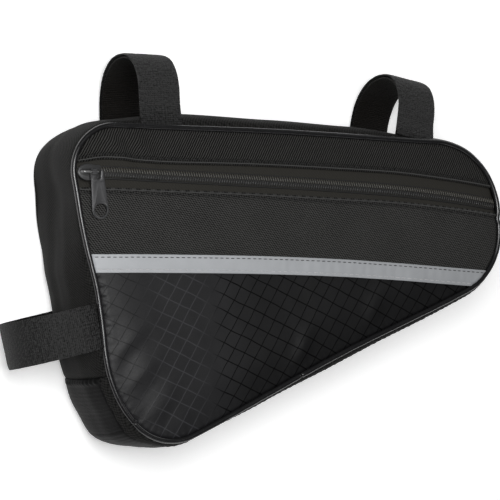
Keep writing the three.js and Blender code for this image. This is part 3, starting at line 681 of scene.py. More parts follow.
def ripstop_cloth():
    """A fine weave with a grid of thicker yarns. The grid is painted pale in a middle band as a painted
    highlight, and dark to the right and faintly to the left as painted shade. The cloth is painted darker
    towards the right as a fading painted sheen.
    """
    cloth = Nodes("ripstop", (0.0072, 0.0072, 0.008), 0.42, 0.3, over_uv=True)
    across = cloth.axis(0)
    wander = cloth.noise(0.06) * 0.22
    lines, weaves = [], []
    for heading, pitch in ((66.0, 8.45), (149.3, 7.05)):
        run = cloth.math("FRACT", cloth.along(heading, pitch) + wander)
        lines.append(cloth.ramp(cloth.math("ABSOLUTE", run - 0.5), 0.022, 0.052, 1.0, 0.0))
        weaves.append(cloth.wave(heading, 0.9))
    grid = cloth.math("MAXIMUM", *lines)
    fine = weaves[0] * weaves[1]
    # Painted highlight on the grid in a middle band, and painted shade on it to the right and faintly to the
    # left
    painted_highlight_lines = grid * (cloth.ramp(across, 42, 62, 0.0, 1.0) * cloth.ramp(across, 76, 92, 1.0, 0.0))
    painted_shade_lines = grid * (cloth.ramp(across, 84, 100, 0.0, 1.0) + cloth.ramp(across, 38, 50, 0.45, 0.0))
    # The last ramp is a painted sheen: lighter on the left, darker towards the right
    tone = fine * 0.1 + 0.38 + cloth.noise(0.04, 3.0).centred(0.3) + cloth.ramp(across, 88, 125, 0.14, -0.4)
    shade = cloth.shade(cloth.scaled(0.5), cloth.scaled(2.0), tone)
    shade = cloth.shade(shade, cloth.scaled(4.0), painted_highlight_lines)
    cloth.feed("Base Color", cloth.shade(shade, cloth.scaled(0.15), painted_shade_lines))
    cloth.feed("Specular IOR Level", cloth.ramp(painted_shade_lines, 0, 1, 0.3, 0.06))
    cloth.feed("Roughness", cloth.noise(0.5) * 0.12 + 0.44)
    cloth.bump(grid * 0.35 + fine * 0.25, 0.12, 0.7)
    return cloth.material


def smooth_cloth():
    cloth = Nodes("smooth_cloth", (0.0022, 0.0022, 0.0023), 0.6, 0.07, over_uv=True)
    rib = cloth.wave(0, 2.2, cloth.noise(0.2) * 1.1)
    fine = cloth.noise(1.6, 3.0, 0.6, (1, 0.25, 1))
    cloth.tint(0.6, 1.6, rib * 0.07 + fine * 0.6 + 0.2)
    cloth.bump(rib * 0.5 + fine, 0.15, 0.6)
    return cloth.material


def webbing_cloth(name, base, fuzz, painted_sheen_strength=0.0):
    """Woven webbing with a short fuzzy pile. Along the band the colour is painted darker up to the top of the
    arch, lighter where the arch turns into the front leg and darker again near the sewn end: painted shade
    and a painted sheen.
    """
    cloth = Nodes(name, base, 0.6, 0.22, over_uv=True)
    rib = cloth.wave(90, 1.15, cloth.noise(0.5) * 0.9)
    warp = cloth.wave(0, 1.7, cloth.noise(0.4) * 0.8)
    fleck = cloth.noise(0.8, 4.0, 0.75, (1.3, 0.7, 1))
    length = cloth.axis(1)
    # Painted shade and sheen along the band's length
    painted_sheen_along = cloth.ramp(length, 64, 100, -0.62, 0.38) + cloth.ramp(length, 106, 122, 0.0, -0.4)
    cloth.tint(0.22, 2.4, rib * 0.25 + 0.42 + warp * 0.07 + fleck.centred(1.1 * fuzz) + painted_sheen_along * painted_sheen_strength)
    cloth.bump(rib * 0.6 + fleck * 2.0, 0.45, 1.0)
    return cloth.material


def tape_cloth():
    cloth = Nodes("zip_tape_cloth", (0.026, 0.0247, 0.0215), 0.85, 0.15, over_uv=True)
    rib = cloth.wave(0, 0.9)
    bone = cloth.wave(45, 1.3)
    cloth.tint(0.6, 1.5, rib * 0.1 + bone * 0.12 + 0.5 + cloth.noise(1.7, 3.0).centred(0.5))
    cloth.bump(rib + bone * 0.6, 0.1, 0.6)
    return cloth.material


def reflective_cloth():
    cloth = Nodes("reflective", (0.36, 0.371, 0.386), 0.5, 0.5, over_uv=True)
    bead = cloth.noise(3.2, 2.0, 0.6)
    # Painted light falloff: the tape is painted lighter on the left and darker on the right
    painted_light_falloff = cloth.ramp(cloth.axis(0), 20, 270, 0.35, -0.35)
    cloth.tint(0.82, 1.18, bead * 0.5 + cloth.noise(0.09, 3.0) * 0.5 + painted_light_falloff)
    cloth.bump(bead, 0.05, 0.5)
    return cloth.material


def glossy_bead():
    bead = Nodes("glossy_bead", (0.007, 0.007, 0.0075), 0.28, 0.6)
    bead.tint(0.7, 1.5, bead.noise(0.9, 3.0))
    bead.feed("Roughness", bead.noise(0.25) * 0.14 + 0.18)
    bead.bump(bead.noise(0.35), 0.06, 0.6)
    return bead.material


def coil_plastic(name, base):
    coil = Nodes(name, base, 0.3, 0.4)
    coil.tint(0.7, 1.4, coil.noise(1.2))
    coil.feed("Roughness", coil.noise(2.0) * 0.15 + 0.27)
    return coil.material


def enamel_metal(name, base, metallic=0.4):
    metal = Nodes(name, base, 0.36, 0.6, metallic, 0.3)
    metal.tint(0.8, 1.25, metal.noise(0.4, 3.0))
    metal.feed("Roughness", metal.noise(1.1, 3.0) * 0.14 + 0.29)
    metal.bump(metal.noise(1.8, 3.0), 0.02, 0.5)
    return metal.material


def thread(name, base):
    yarn = Nodes(name, base, 0.6, 0.4)
    yarn.tint(0.7, 1.3, yarn.wave(40, 0.5) * 0.5 + 0.5)
    return yarn.material


TWILL_UPPER = twill_cloth("twill_upper", -30, 1.28, (0.0198, 0.0195, 0.0186), 2.4, 0.2)
TWILL_MIDDLE = twill_cloth("twill_middle", 38, 1.28, (0.03, 0.0298, 0.0287), 2.0, 0.5)
TWILL_WALL = twill_cloth("twill_wall", 40, 1.3, (0.0084, 0.0082, 0.0078), 0.8, 0.4, relief=0.07)
RIPSTOP = ripstop_cloth()
SMOOTH = smooth_cloth()
WEBBING = webbing_cloth("webbing_outer", (0.0185, 0.0185, 0.0185), 4.6, 1.1)
WEBBING_INNER = webbing_cloth("webbing_inner", (0.0062, 0.0052, 0.0042), 1.4)
TAPE = tape_cloth()
REFLECTIVE = reflective_cloth()
BEAD = glossy_bead()
COIL = coil_plastic("coil_nylon", (0.062, 0.059, 0.05))
# A darker copy of the coil nylon for the lower row: painted shade
COIL_PAINTED_SHADE = coil_plastic("coil_nylon_painted_shade", (0.036, 0.0355, 0.034))
ENAMEL = enamel_metal("black_enamel", (0.058, 0.058, 0.06))
SLIDER_ENAMEL = enamel_metal("slider_enamel", (0.036, 0.036, 0.037))
# Near-black, for the patch under the slider's bail: painted shade
PAINTED_SHADE_ENAMEL = enamel_metal("painted_shade_enamel", (0.004, 0.004, 0.004), 0.0)
# Paler and more metallic than the slider's body, so that the bail shows as a bright bar: a painted highlight
BAIL_HIGHLIGHT_ENAMEL = enamel_metal("bail_highlight_enamel", (0.22, 0.22, 0.22), 0.8)
DARK_THREAD = thread("dark_thread", (0.012, 0.012, 0.012))
PALE_THREAD = thread("pale_thread", (0.5, 0.5, 0.5))
# A lighter twill colour for the hem crests, as a painted highlight
CREST_HIGHLIGHT = thread("twill_crest_highlight", (0.048, 0.048, 0.047))


# Front pieces

def front_height(x, y, rise=0.0, puckers=0.16):
    """The front with the groove beside the piping, the seam's small puckers and the wrinkles."""
    depth, place = depth_inside(x, y)
    groove = -1.3 * bell((depth - 0.4) / 1.2)
    pucker = puckers * np.sin(2 * math.pi * place / 4.6 + 2.5 * SEAM_PUCKERS(x * 0.3, y * 0.3))
    near = np.exp(-np.clip(depth, 0, None) / 3.5)
    waves = 0.1 * SMALL_WRINKLES(x, y) + 0.25 * BROAD_WAVES(x, y) * smoothstep(3, 20, depth)
    return plain_height(x, y, depth) + groove + pucker * near + waves + rise


def on_front(x, y, rise, puckers=0.16):
    return np.stack([x, y, front_height(x, y, rise, puckers)], axis=-1)


def front_piece(name, x, y, rise, thickness, material, slot, puckers=0.16):
    outer = on_front(x, y, rise, puckers)
    sheet = closed_sheet(outer, outer - thickness * UP, np.stack([x, y], axis=-1))
    add_mesh(name + "_cloth", material, *sheet, replaces=[name], slot=slot)


def hem_rise(gap, wobble):
    """A folded hem: a ridge at the fold, a stitched groove and a soft swell behind it."""
    ridge = HEM_RIDGE * bell((gap - 0.6) / 0.6)
    groove = -0.65 * bell((gap - HEM_STITCHES) / 0.5)
    swell = 0.3 * bell((gap - 4.3) / 1.6)
    return ridge + groove + swell * (1 + 0.5 * wobble)


def fold_edges():
    """A thin, lighter tube along the crest of each folded hem: a painted highlight."""
    highlight_tubes = []
    for line, side in ((upper_hem, 1), (lower_hem, -1)):
        x = np.linspace(*line_ends(line), 700)
        highlight_tubes.append(tube(on_front(x, line(x) + side * HEM_FOLD, HEM_RIDGE - 0.12), 0.33, 8))
    add_shapes("hem_crest_highlights", CREST_HIGHLIGHT, highlight_tubes)


def ripstop_folds(x, y):
    """The deeper puckers beside the left piping and the slack folds in the lower left."""
    depth, _ = depth_inside(x, y)
    teeth = np.abs(np.mod((y + 0.35 * x) / 5.0, 1.0) - 0.5) * 2
    reach = 1.0 + 4.5 * teeth
    left = bell((y + 102) / 19) * (1 - smoothstep(reach - 0.8, reach + 0.5, depth)) * (x < 60)
    slack = sum(rise * crease(x, y, (fold_x, fold_y), *shape) for fold_x, fold_y, *shape, rise in SLACK_FOLDS)
    return -1.3 * left + 0.3 * slack * smoothstep(1, 8, depth)


def front_panels():
    strip_middle = shifted(strip_top, -STRIP_WIDTH / 2)
    x, y = front_grid(upper_hem, inside_edge("top_left", TUCK), 300, 60,
                      spread=lambda share: 0.7 * (1 - np.cos(math.pi * share)) / 2 + 0.3 * share)
    rise = hem_rise(y - upper_hem(x), SMALL_WRINKLES(x * 0.7, 3.0))
    front_piece("front_upper_panel", x, y, rise, PANEL_THICKNESS, TWILL_UPPER, "twill_cloth")

    x, y = front_grid(strip_middle, lower_hem, 300, 60, spread=lambda share: 1 - (1 - share) ** 1.7)
    rise = hem_rise(lower_hem(x) - y, SMALL_WRINKLES(x * 0.7, 9.0))
    front_piece("front_middle_panel", x, y, rise, PANEL_THICKNESS, TWILL_MIDDLE, "twill_cloth")

    x, y = front_grid(inside_edge("right", TUCK), strip_middle, 260, 110, spread=lambda share: share ** 1.7,
                      start=BAG_LENGTH / 3, limit=LOWER_PANEL_END)
    front_piece("front_lower_panel", x, y, ripstop_folds(x, y), PANEL_THICKNESS, RIPSTOP, "ripstop_cloth",
                puckers=0.2)


def strip_piece():
    x, y = front_grid(shifted(strip_top, -STRIP_WIDTH), strip_top, 300, 14)
    gap = strip_top(x) - y
    pucker = 0.12 * np.sin(2 * math.pi * x / 7.1 + 2 * SMALL_WRINKLES(x, 0)) * smoothstep(90, 150, x)
    pull = -0.22 * (bell((gap - 1.3) / 0.6) + bell((STRIP_WIDTH - gap - 1.4) / 0.6))
    rise = CLEARANCE + STRIP_LIFT + pucker * bell((gap - STRIP_WIDTH / 2) / 4) + pull
    front_piece("reflective_strip", x, y, rise, STRIP_THICKNESS, REFLECTIVE, "reflective_tape")


def front_stitches():
    on_strip = CLEARANCE + STRIP_LIFT - 0.18
    dark, pale = [], []
    # line, shift, rise, then the stitches' pitch, length, radius and slant
    for seams, line, shift, rise, *sizes in (
            (dark, upper_hem, HEM_STITCHES, -0.3, 2.3, 1.9, 0.28, 0.25),
            (dark, lower_hem, -HEM_STITCHES, -0.3, 2.1, 1.8, 0.26, 0.4),
            (dark, strip_top, -1.3, on_strip, 3.5, 2.3, 0.22),
            (pale, strip_top, 1.4 - STRIP_WIDTH, on_strip, 4.0, 2.7, 0.2)):
        seam = shifted(line, shift)
        x = np.linspace(*line_ends(seam), 900)
        seams += stitches(on_front(x, seam(x), rise), *sizes)
    add_shapes("stitch_lines", DARK_THREAD, dark)
    add_shapes("strip_stitches", PALE_THREAD, pale)


# Zip

def zip_tapes():
    for name, side in (("zip_tape_upper", 1), ("zip_tape_lower", -1)):
        lines = [shifted(zip_line, side * 0.15), shifted(zip_line, side * TAPE_REACH)]
        x, y = front_grid(*lines[::side], 280, 26, inset=1.2)
        front_piece(name, x, y, -TAPE_DROP, TAPE_THICKNESS, TAPE, "zip_tape")


def zip_teeth():
    """Coils that lean in from both sides and lock along the middle, with a dark cord outside each row. The
    lower row is a darker copy of the nylon as painted shade, the lower cord is widened as a painted shadow of
    the chain, and a dark bed under the chain is painted shade.
    """
    left, right = line_ends(zip_line, 1.6)
    # name, material, what it replaces, side, start, radius of tooth and crown, drop of the head
    for name, material, replaces, side, start, radius, crown, drop in (
            ("zip_coil_upper_teeth", COIL, ["zip_coil"], 1, 0.0, 0.34, 0.42, 0.0),
            ("zip_coil_lower_teeth", COIL_PAINTED_SHADE, [], -1, TOOTH_PITCH / 2, 0.28, 0.32, 0.2)):
        teeth = []
        x = np.arange(left + 0.6, right - 0.4, TOOTH_PITCH) + start
        for spot in on_front(x, zip_line(x), -TAPE_DROP):
            foot, head = spot + [-0.45, side * 3.1, 0.25], spot + [0.1, side * 0.05, 0.85 - drop]
            teeth.append(capsule(foot, head, radius, sides=8, rings=6, lift=0.35))
            teeth.append(capsule(head + [-0.1, side * 1.2, 0.15], head, crown, sides=8, rings=4))
        add_shapes(name, material, teeth, replaces=replaces, slot="coil_nylon")
    x = np.linspace(left, right, 420)
    twist = 0.1 + 0.1 * swing(x / TOOTH_PITCH)
    # The lower cord is wider and further out than the upper one, as a painted shadow of the chain on the tape
    cords_and_shadow_line = [tube(on_front(x, zip_line(x) + shift, twist - TAPE_DROP), radius, 7)
             for shift, radius in ((3.2, 0.42), (-3.45, 0.5))]
    add_shapes("zip_coil_cords_and_painted_shadow", DARK_THREAD, cords_and_shadow_line)
    # A flat near-black bed under the chain: painted shade between the teeth
    painted_shade_bed = tube(on_front(x, zip_line(x), -TAPE_DROP - 0.15), 2.8, 10, squash=0.12)
    add_shapes("zip_coil_painted_shade_bed", DARK_THREAD, [painted_shade_bed])


def flat_shape(outline, depth, bevel, base, tip=0.0, holes=()):
    """A flat plate with rounded edges from an outline and holes, standing on z = 0 unless it is tipped."""
    curve = bpy.data.curves.new("plate", "CURVE")
    curve.dimensions = "2D"
    curve.fill_mode = "BOTH"
    curve.extrude = (depth / 2 - bevel) / 1000
    curve.bevel_depth = bevel / 1000
    curve.bevel_resolution = 3
    curve.offset = -bevel / 1000
    for loop in (outline, *holes):
        spline = curve.splines.new("POLY")
        spline.points.add(len(loop) - 1)
        for point, (x, y) in zip(spline.points, loop):
            point.co = (x / 1000, y / 1000, 0, 1)
        spline.use_cyclic_u = True
    holder = bpy.data.objects.new("plate", curve)
    show(holder)
    bpy.context.view_layer.update()
    mesh = bpy.data.meshes.new_from_object(holder.evaluated_get(bpy.context.evaluated_depsgraph_get()))
    bpy.data.objects.remove(holder)
    bpy.data.curves.remove(curve)
    lift = Matrix.Translation((0, 0, depth / 2000 if tip == 0.0 else 0))
    mesh.transform(Matrix.Translation(to_metres([base])[0]) @ Matrix.Rotation(tip, 4, "X") @ lift)
    return mesh


def mesh_of(points, faces, base, tip=0.0):
    mesh = bpy.data.meshes.new("part")
    mesh.from_pydata((np.asarray(points) / 1000).tolist(), [], [tuple(face) for face in faces])
    mesh.transform(Matrix.Translation(to_metres([base])[0]) @ Matrix.Rotation(tip, 4, "X"))
    return mesh


def round_loop(points, radius, steps=6):
    """A closed outline with its corners rounded."""
    points = [np.array(point, float) for point in points]
    loop = []
    for index, point in enumerate(points):
        before = points[index - 1] - point
        after = points[(index + 1) % len(points)] - point
        reach = min(radius, np.hypot(*before) * 0.45, np.hypot(*after) * 0.45)
        start, end = point + unit(before) * reach, point + unit(after) * reach
        for share in np.arange(steps + 1) / steps:
            loop.append((1 - share) ** 2 * start + 2 * share * (1 - share) * point + share ** 2 * end)
    return loop


def circle_loop(x, y, radius, steps=40):
    angles = [2 * math.pi * k / steps for k in range(steps)]
    return [(x + radius * math.cos(angle), y + radius * math.sin(angle)) for angle in angles]


def join_meshes(name, material, meshes, **more):
    shape = bmesh.new()
    for mesh in meshes:
        shape.from_mesh(mesh)
    whole = bpy.data.meshes.new(name)
    bmesh.ops.remove_doubles(shape, verts=shape.verts, dist=1e-7)
    bmesh.ops.recalc_face_normals(shape, faces=shape.faces)
    shape.to_mesh(whole)
    shape.free()
    whole.materials.clear()
    whole.polygons.foreach_set("material_index", [0] * len(whole.polygons))
    add_piece(name, whole, material, slot="black_enamel", **more)
    whole.set_sharp_from_angle(angle=math.radians(35))


def slider_place():
    """The underside of the slider, over the chain."""
    return np.array([SLIDER_X, float(zip_line(SLIDER_X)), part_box("zip_slider")[0][2] * 1000])


def mirrored(half):
    """A closed outline from its upper half."""
    return half + [(x, -y) for x, y in reversed(half) if y]


def zip_slider():
    base = slider_place()
    plate = mirrored([(6.95, 3.8), (5.6, 4.35), (3.4, 4.2), (0.6, 4.85), (-2.2, 4.75), (-4.8, 3.6),
                      (-6.4, 1.9), (-6.95, 0)])
    window = mirrored([(-6.2, 0), (-5.2, 1.5), (-2.5, 2.0), (3.0, 2.0), (5.6, 1.6), (6.2, 0)])
    half, bend, foot = 4.8, 1.5, 0.8
    turns = np.linspace(0, math.pi / 2, 8)
    left = [(-half + bend * (1 - math.cos(t)), 0, BAIL_OVER_BASE - bend * (1 - math.sin(t))) for t in turns]
    right = [(-x, 0, z) for x, _, z in reversed(left)]
    bail = tube([(-half, 0, foot), *left, *right, (half, 0, foot)], 0.75, 16, (0, 1, 0))
    # A near-black patch in the window under the bail, a hair above the body: painted shade of a recess
    join_meshes("zip_slider_painted_shade", PAINTED_SHADE_ENAMEL, [flat_shape(round_loop(window, 1.2), 1.7, 0.08, base)])
    # The bail is painted paler than the body as a painted highlight
    join_meshes("zip_slider_bail", BAIL_HIGHLIGHT_ENAMEL, [mesh_of(*bail, base)])
    join_meshes("zip_slider_body", SLIDER_ENAMEL, [flat_shape(round_loop(plate, 1.6), 1.6, 0.5, base)],
                replaces=["zip_slider"])


PULL_BORE = 1.05
PULL_RIGHT = 7.35
PULL_LEFT = PULL_RIGHT - PULL_WIDTH
PULL_MIDDLE = (PULL_LEFT + PULL_RIGHT) / 2 + PULL_LENGTH * math.tan(math.radians(8))


def pull_tip(base):
    """How far the tab tips down, so that its end comes to rest on the front."""
    tip = math.pi / 2
    for share in (0.4, 0.6, 0.8, 1, 1.15, 1.24):
        for side in (-5, 0, 5):
            x, y = np.array([SLIDER_X + PULL_MIDDLE + side]), np.array([base[1] - share * PULL_LENGTH])
            under = float(plain_height(x, y, depth_inside(x, y)[0])[0])
            tip = min(tip, math.atan2(base[2] - 0.6 - CLEARANCE - under, share * PULL_LENGTH))
    return tip


def zip_pull():
    """A tapered tab with a round hole, an eye and a knuckle that turns on the slider's bail."""
    base = slider_place() + [0, 0, BAIL_OVER_BASE]
    tip = pull_tip(base)
    left, right, arm, low = PULL_LEFT, PULL_RIGHT, 5.85, -PULL_LENGTH
    arc = [(PULL_MIDDLE + PULL_END_RADIUS * math.cos(a), low + PULL_END_RADIUS * math.sin(a))
           for a in np.linspace(math.pi, 2 * math.pi, 30)]
    eye = [(arm, 0.9), (arm, -3.2), (arm - 0.9, -4.1), (3.5, -4.1), (3.1, -3.6), (3.1, -0.2)]
    tab = [(left, -0.9), *arc, (right, 0.3), (right - 0.3, 1.0), (right - 0.9, 1.2), *eye, (0.5, -0.2),
           (0.5, -1.2), (0.2, -1.4), (left + 0.3, -1.4)]
    taper = 5.0 / PULL_LENGTH
    shoulder_left = mix(left, PULL_MIDDLE - PULL_END_RADIUS, taper) + 0.1
    shoulder_right = mix(right, PULL_MIDDLE + PULL_END_RADIUS, taper) - 0.1
    shoulder = [(left + 0.1, -1.5), (shoulder_left, -5.6), (shoulder_right, -5.6), (right - 0.1, -1.0),
                (right - 0.4, 0.6), (arm + 0.3, 0.6), (arm + 0.3, -3.4), (arm - 0.7, -4.5), (3.2, -4.5),
                (2.6, -3.8), (2.6, -1.9), (0.6, -1.9)]
    rim = tube([(x, y, 0.45) for x, y in circle_loop(PULL_MIDDLE, low, 4.2, 48)], 0.5, 10, closed=True)
    # The knuckle's section: along the hinge and out from it
    section = ((-1.5, 1.2), (-1.3, PULL_BORE), (1.3, PULL_BORE), (1.5, 1.2), (1.5, 1.6), (1.3, 1.8),
               (-1.3, 1.8), (-1.5, 1.6))
    turns = np.linspace(0, 2 * math.pi, 24, endpoint=False)
    knuckle = [(1.8 + along, out * math.cos(a), out * math.sin(a)) for a in turns for along, out in section]
    join_meshes("zip_pull_tab", ENAMEL, [
        flat_shape(tab, 1.2, 0.3, base, tip, [circle_loop(PULL_MIDDLE, low, 3.75)]),
        flat_shape(round_loop(shoulder, 0.3, 3), 1.5, 0.25, base, tip),
        mesh_of(*rim, base, tip),
        mesh_of(knuckle, ring_faces(len(turns), len(section), True), base, tip),
    ], body="pull", replaces=["zip_pull"])


# Piping, back and walls

LEFT_JOIN = place_on("left", "corner", 0.82)
RIGHT_JOIN = place_on("right", "corner", 0.5)
PIPING_JOIN = place_on("right", "edge", 0.62)


def piping():
    distance = np.linspace(PIPING_JOIN + 0.15, PIPING_JOIN + RIM_LENGTH - 0.15, 900)
    point, outward = outline_at(distance)
    spots = point + outward * 0.1 * SMALL_WRINKLES(*point.T)[:, None]
    height = BAG_DEPTH + 0.1 * SMALL_WRINKLES(point[:, 1] + 40, point[:, 0])
    ends = np.minimum(distance - distance[0], distance[-1] - distance)
    radius = PIPING_RADIUS * (1 + 0.03 * SEAM_PUCKERS(distance, 0.0))
    radius = radius * np.sqrt(np.clip(0.55 + ends / 1.2, 0, 1))
    add_mesh("front_piping_bead", BEAD, *tube(np.column_stack([spots, height]), radius, 20),
             replaces=["front_piping"], slot="glossy_bead")


def back_tuck(distance, height):
    """How far the back half is drawn in at three rounds, which are softer there than at the front."""
    tuck = 0.0
    for corner, part, share, reach, size in BACK_TUCKS:
        tuck = tuck + size * bell(round_run(distance, place_on(corner, part, share)) / reach)
    return tuck * (1 - smoothstep(18, 55, height))


def wall_grid(start, end, back, columns, rows):
    """Distances round the outline and heights from the front to the back, closer at both ends."""
    share = np.linspace(0, 1, rows + 1)
    share = 0.5 * (1 - np.cos(math.pi * share)) / 2 + 0.5 * share
    distance = np.linspace(start, end, columns + 1)[:, None]
    return np.broadcast_arrays(distance, mix(WALL_FRONT, back, share)[None, :])


def wall_wrinkles(distance, height, seed_shift=0.0):
    """Soft creases that run round the wall and small puckers along the front seam."""
    painted_light_falloff = np.clip(np.sin(math.pi * np.clip(height / BAG_DEPTH, 0, 1)), 0, 1) ** 2
    creases = 0.25 * SMALL_WRINKLES(distance * 0.22 + seed_shift, height * 1.3)
    waves = 0.3 * BROAD_WAVES(distance * 0.8, height * 1.5 + seed_shift)
    pucker = 0.05 * np.sin(2 * math.pi * distance / 5.3 + 3 * SEAM_PUCKERS(distance * 0.2, 0))
    near = np.exp(-np.clip(BAG_DEPTH - height, 0, None) / 5)
    return (creases + waves) * painted_light_falloff + pucker * near


def wall_piece(name, distance, height, shape, thickness, material, slot, rounds=3):
    offset = wall_outside(distance, height) + shape(distance, height)
    point, outward = outline_at(distance)
    layers = []
    for depth in (0.0, thickness):
        spots = point + outward * (offset - depth - back_tuck(distance, height))[..., None]
        layers.append(np.concatenate([spots, height[..., None]], axis=-1))
    sheet = closed_sheet(*layers, np.stack([distance, height], axis=-1), rounds)
    add_mesh(name + "_cloth", material, *sheet, replaces=[name], slot=slot)


def tuck_at_seam(height):
    return -0.3 * bell((height - WALL_FRONT) / 0.9)


def upper_wall(distance, height):
    joins = sum(bell(round_run(distance, join) / 1.6) for join in (LEFT_JOIN, RIGHT_JOIN))
    return wall_wrinkles(distance, height) + tuck_at_seam(height) - 0.9 * joins


def lower_wall(distance, height):
    """The ribbed lower wall with its ruffled hems at both joins and a step under the seam strip."""
    flat = smoothstep(4, 16, height)
    ruffle = 0.45 * swing(height / 4.4) + 0.9
    hem = (0.2 + ruffle * flat) * bell((round_run(distance, LEFT_JOIN) + 1.4) / 1.3)
    hem = hem + 0.5 * flat * bell((round_run(distance, RIGHT_JOIN) - 1.4) / 1.3)
    ribs = 0.05 * np.sin(2 * math.pi * distance / 2.6 + 2 * SMALL_WRINKLES(distance, height))
    lip = -0.5 * smoothstep(BAG_DEPTH - 6.5, BAG_DEPTH - 4.5, height)
    return wall_wrinkles(distance, height, 50.0) + hem + ribs + lip


def seam_strip(distance, height):
    edge = np.exp(-np.clip(height - (WALL_FRONT - SEAM_STRIP_WIDTH), 0, None))
    ruffle = edge * (0.2 + 0.12 * np.sin(2 * math.pi * distance / 3.7 + 2 * SEAM_PUCKERS(distance, 0)))
    return wall_wrinkles(distance, height, 50.0) + 0.45 + ruffle + tuck_at_seam(height)


def walls():
    over = (LEFT_JOIN - RIM_LENGTH + 0.1, RIGHT_JOIN - 0.1)
    under = (RIGHT_JOIN + 0.1, LEFT_JOIN - 0.1)
    wall_piece("gusset_upper", *wall_grid(*over, WALL_BACK, 420, 56), upper_wall, WALL_THICKNESS, TWILL_WALL,
               "twill_cloth")
    wall_piece("gusset_lower", *wall_grid(*under, WALL_BACK, 400, 52), lower_wall, WALL_THICKNESS, SMOOTH,
               "smooth_cloth")
    distance, height = wall_grid(*under, WALL_FRONT - SEAM_STRIP_WIDTH, 400, 8)
    height = height + 0.25 * swing(distance / 9.1) * (WALL_FRONT - height) / SEAM_STRIP_WIDTH
    wall_piece("gusset_seam_strip", distance, height, seam_strip, SEAM_STRIP_THICKNESS, TWILL_WALL,
               "twill_cloth", 2)


def back_panel():
    """The back: rings of the outline drawn in to a middle point, with a bound edge round it."""
    distance = np.linspace(0, RIM_LENGTH, 480, endpoint=False)
    point, outward = outline_at(distance)
    rim = point + outward * (WALL_THICKNESS / 2 - back_tuck(distance, 0.0)[:, None])
    centre = np.array(BACK_CENTRE)
    outside, inside = [], []
    for share in (0, 0.012, 0.03, 0.06, 0.1, 0.15, 0.22, 0.3, 0.4, 0.5, 0.6, 0.7, 0.8, 0.9, 0.97):
        ring = mix(rim, centre, share)
        lift = 0.35 * (BROAD_WAVES(*ring.T) + 1) * smoothstep(0.03, 0.3, share)
        outside.append(np.column_stack([ring, 0.12 + 0.5 * bell(share / 0.02) + np.clip(lift, 0, 0.9)]))
        inside.append(np.column_stack([ring, np.full(len(ring), BACK_INSIDE)]))
    rings = np.array(outside[::-1] + inside)
    count, sides = rings.shape[:2]
    points = np.concatenate([rings.reshape(-1, 3), [[*centre, 0.3], [*centre, BACK_INSIDE]]])
    faces = ring_faces(count, sides) + end_faces(count, sides, count * sides)
    add_mesh("back_panel_cloth", SMOOTH, points, faces, points[:, :2], replaces=["back_panel"],
             slot="smooth_cloth")
    path = np.column_stack([rim - outward * 0.3, np.full(sides, 1.9)])
    points, faces = tube(path, BINDING_RADIUS, 12, closed=True)
    add_mesh("back_binding", TWILL_WALL, points, faces, points[:, :2])


# Webbing loops

def wall_reach(start, direction, height):
    """How far out a point must go to clear the side wall, for rows of points of a strap's legs."""
    few = np.linspace(0, start.shape[1] - 1, 6).round().astype(int)
    spots, level = start[:, few], height[:, few]
    reach = np.full(spots.shape[:-1], 6.0)
    for _ in range(7):
        depth, distance = depth_inside(*np.moveaxis(spots + direction * reach[..., None], -1, 0))
        reach = reach + wall_outside(distance, level) + CLEARANCE + depth
    return np.stack([np.interp(np.arange(start.shape[1]), few, row) for row in reach])


def strap_band(name, place, width, thickness, sunk, material, seed):
    """One band of a loop: a leg at the back, an arch and a leg at the front, sewn down at its end."""
    corner, share, lean, reach_share, skew = place
    point, outward = outline_at(place_on(corner, "edge", share))
    out = np.array(turned(*outward, -lean))
    across = np.array([out[1], -out[0]])
    half = BAG_DEPTH / 2 - STRAP_INSET
    spring = STRAP_REACH * reach_share - half
    columns, leg_rows, arch_rows = 34, 30, 120
    row = np.arange(2 * leg_rows + arch_rows + 1)
    turn = math.pi * np.clip((row - leg_rows) / arch_rows, 0, 1)[:, None]
    leg = np.maximum(1 - row / leg_rows, (row - leg_rows - arch_rows) / leg_rows).clip(0)[:, None]
    on_leg, sewn = leg[:, 0] > 0, row > leg_rows + arch_rows
    side = (0.5 - np.linspace(0, 1, columns + 1))[None, :] * width
    start = np.broadcast_to(point + across * side[..., None], (len(row), columns + 1, 2))
    length = 0.9 * (row + 1)[:, None]
    fuzz = 0.1 * Ripple(seed, 1.4, 12)(side, length) + 0.1 * Ripple(seed + 1, 5)(side, length)
    thinning = 0.225 * thickness * np.power(np.abs(side) / (width / 2), 10)
    layers = []
    for depth, shift in ((0.0, fuzz - thinning), (thickness, thinning - 0.5 * fuzz)):
        radius = half - sunk - depth + shift
        fore, rise = [np.sign(part) * np.abs(part) ** ARCH_POWER for part in (np.cos(turn), np.sin(turn))]
        height = BAG_DEPTH / 2 - radius * fore
        reach = spring + radius * rise
        reach[on_leg] = mix(spring, wall_reach(start[on_leg], out, height[on_leg]) - 0.3, leg[on_leg])
        if sunk == 0.0:
            reach[sewn] = mix(spring, 2.0, leg[sewn])
            height = height + 2.1 * smoothstep(0.0, 1.0, leg) * sewn[:, None]
        aside = (skew + BACK_LEG_SPREAD * side) * (1 - height / BAG_DEPTH)
        spots = start + out * reach[..., None] + across * aside[..., None]
        layers.append(np.concatenate([spots, height[..., None]], axis=-1))
    steps = np.linalg.norm(np.diff(layers[0][:, columns // 2], axis=0), axis=1)
    length = np.concatenate([[0], np.cumsum(steps)])[:, None]
    sheet = closed_sheet(*layers, np.stack(np.broadcast_arrays(side, length), axis=-1))
    add_mesh(name + "_band", material, *sheet, replaces=[name], slot="webbing")


def straps():
    for number, (name, *place) in enumerate(STRAPS):
        strap_band(name, place, STRAP_WIDTH, STRAP_THICKNESS, 0.0, WEBBING, 20 + number)
        strap_band(name + "_lining", place, LINING_WIDTH, LINING_THICKNESS, STRAP_THICKNESS + CLEARANCE,
                   WEBBING_INNER, 30 + number)


# Stage

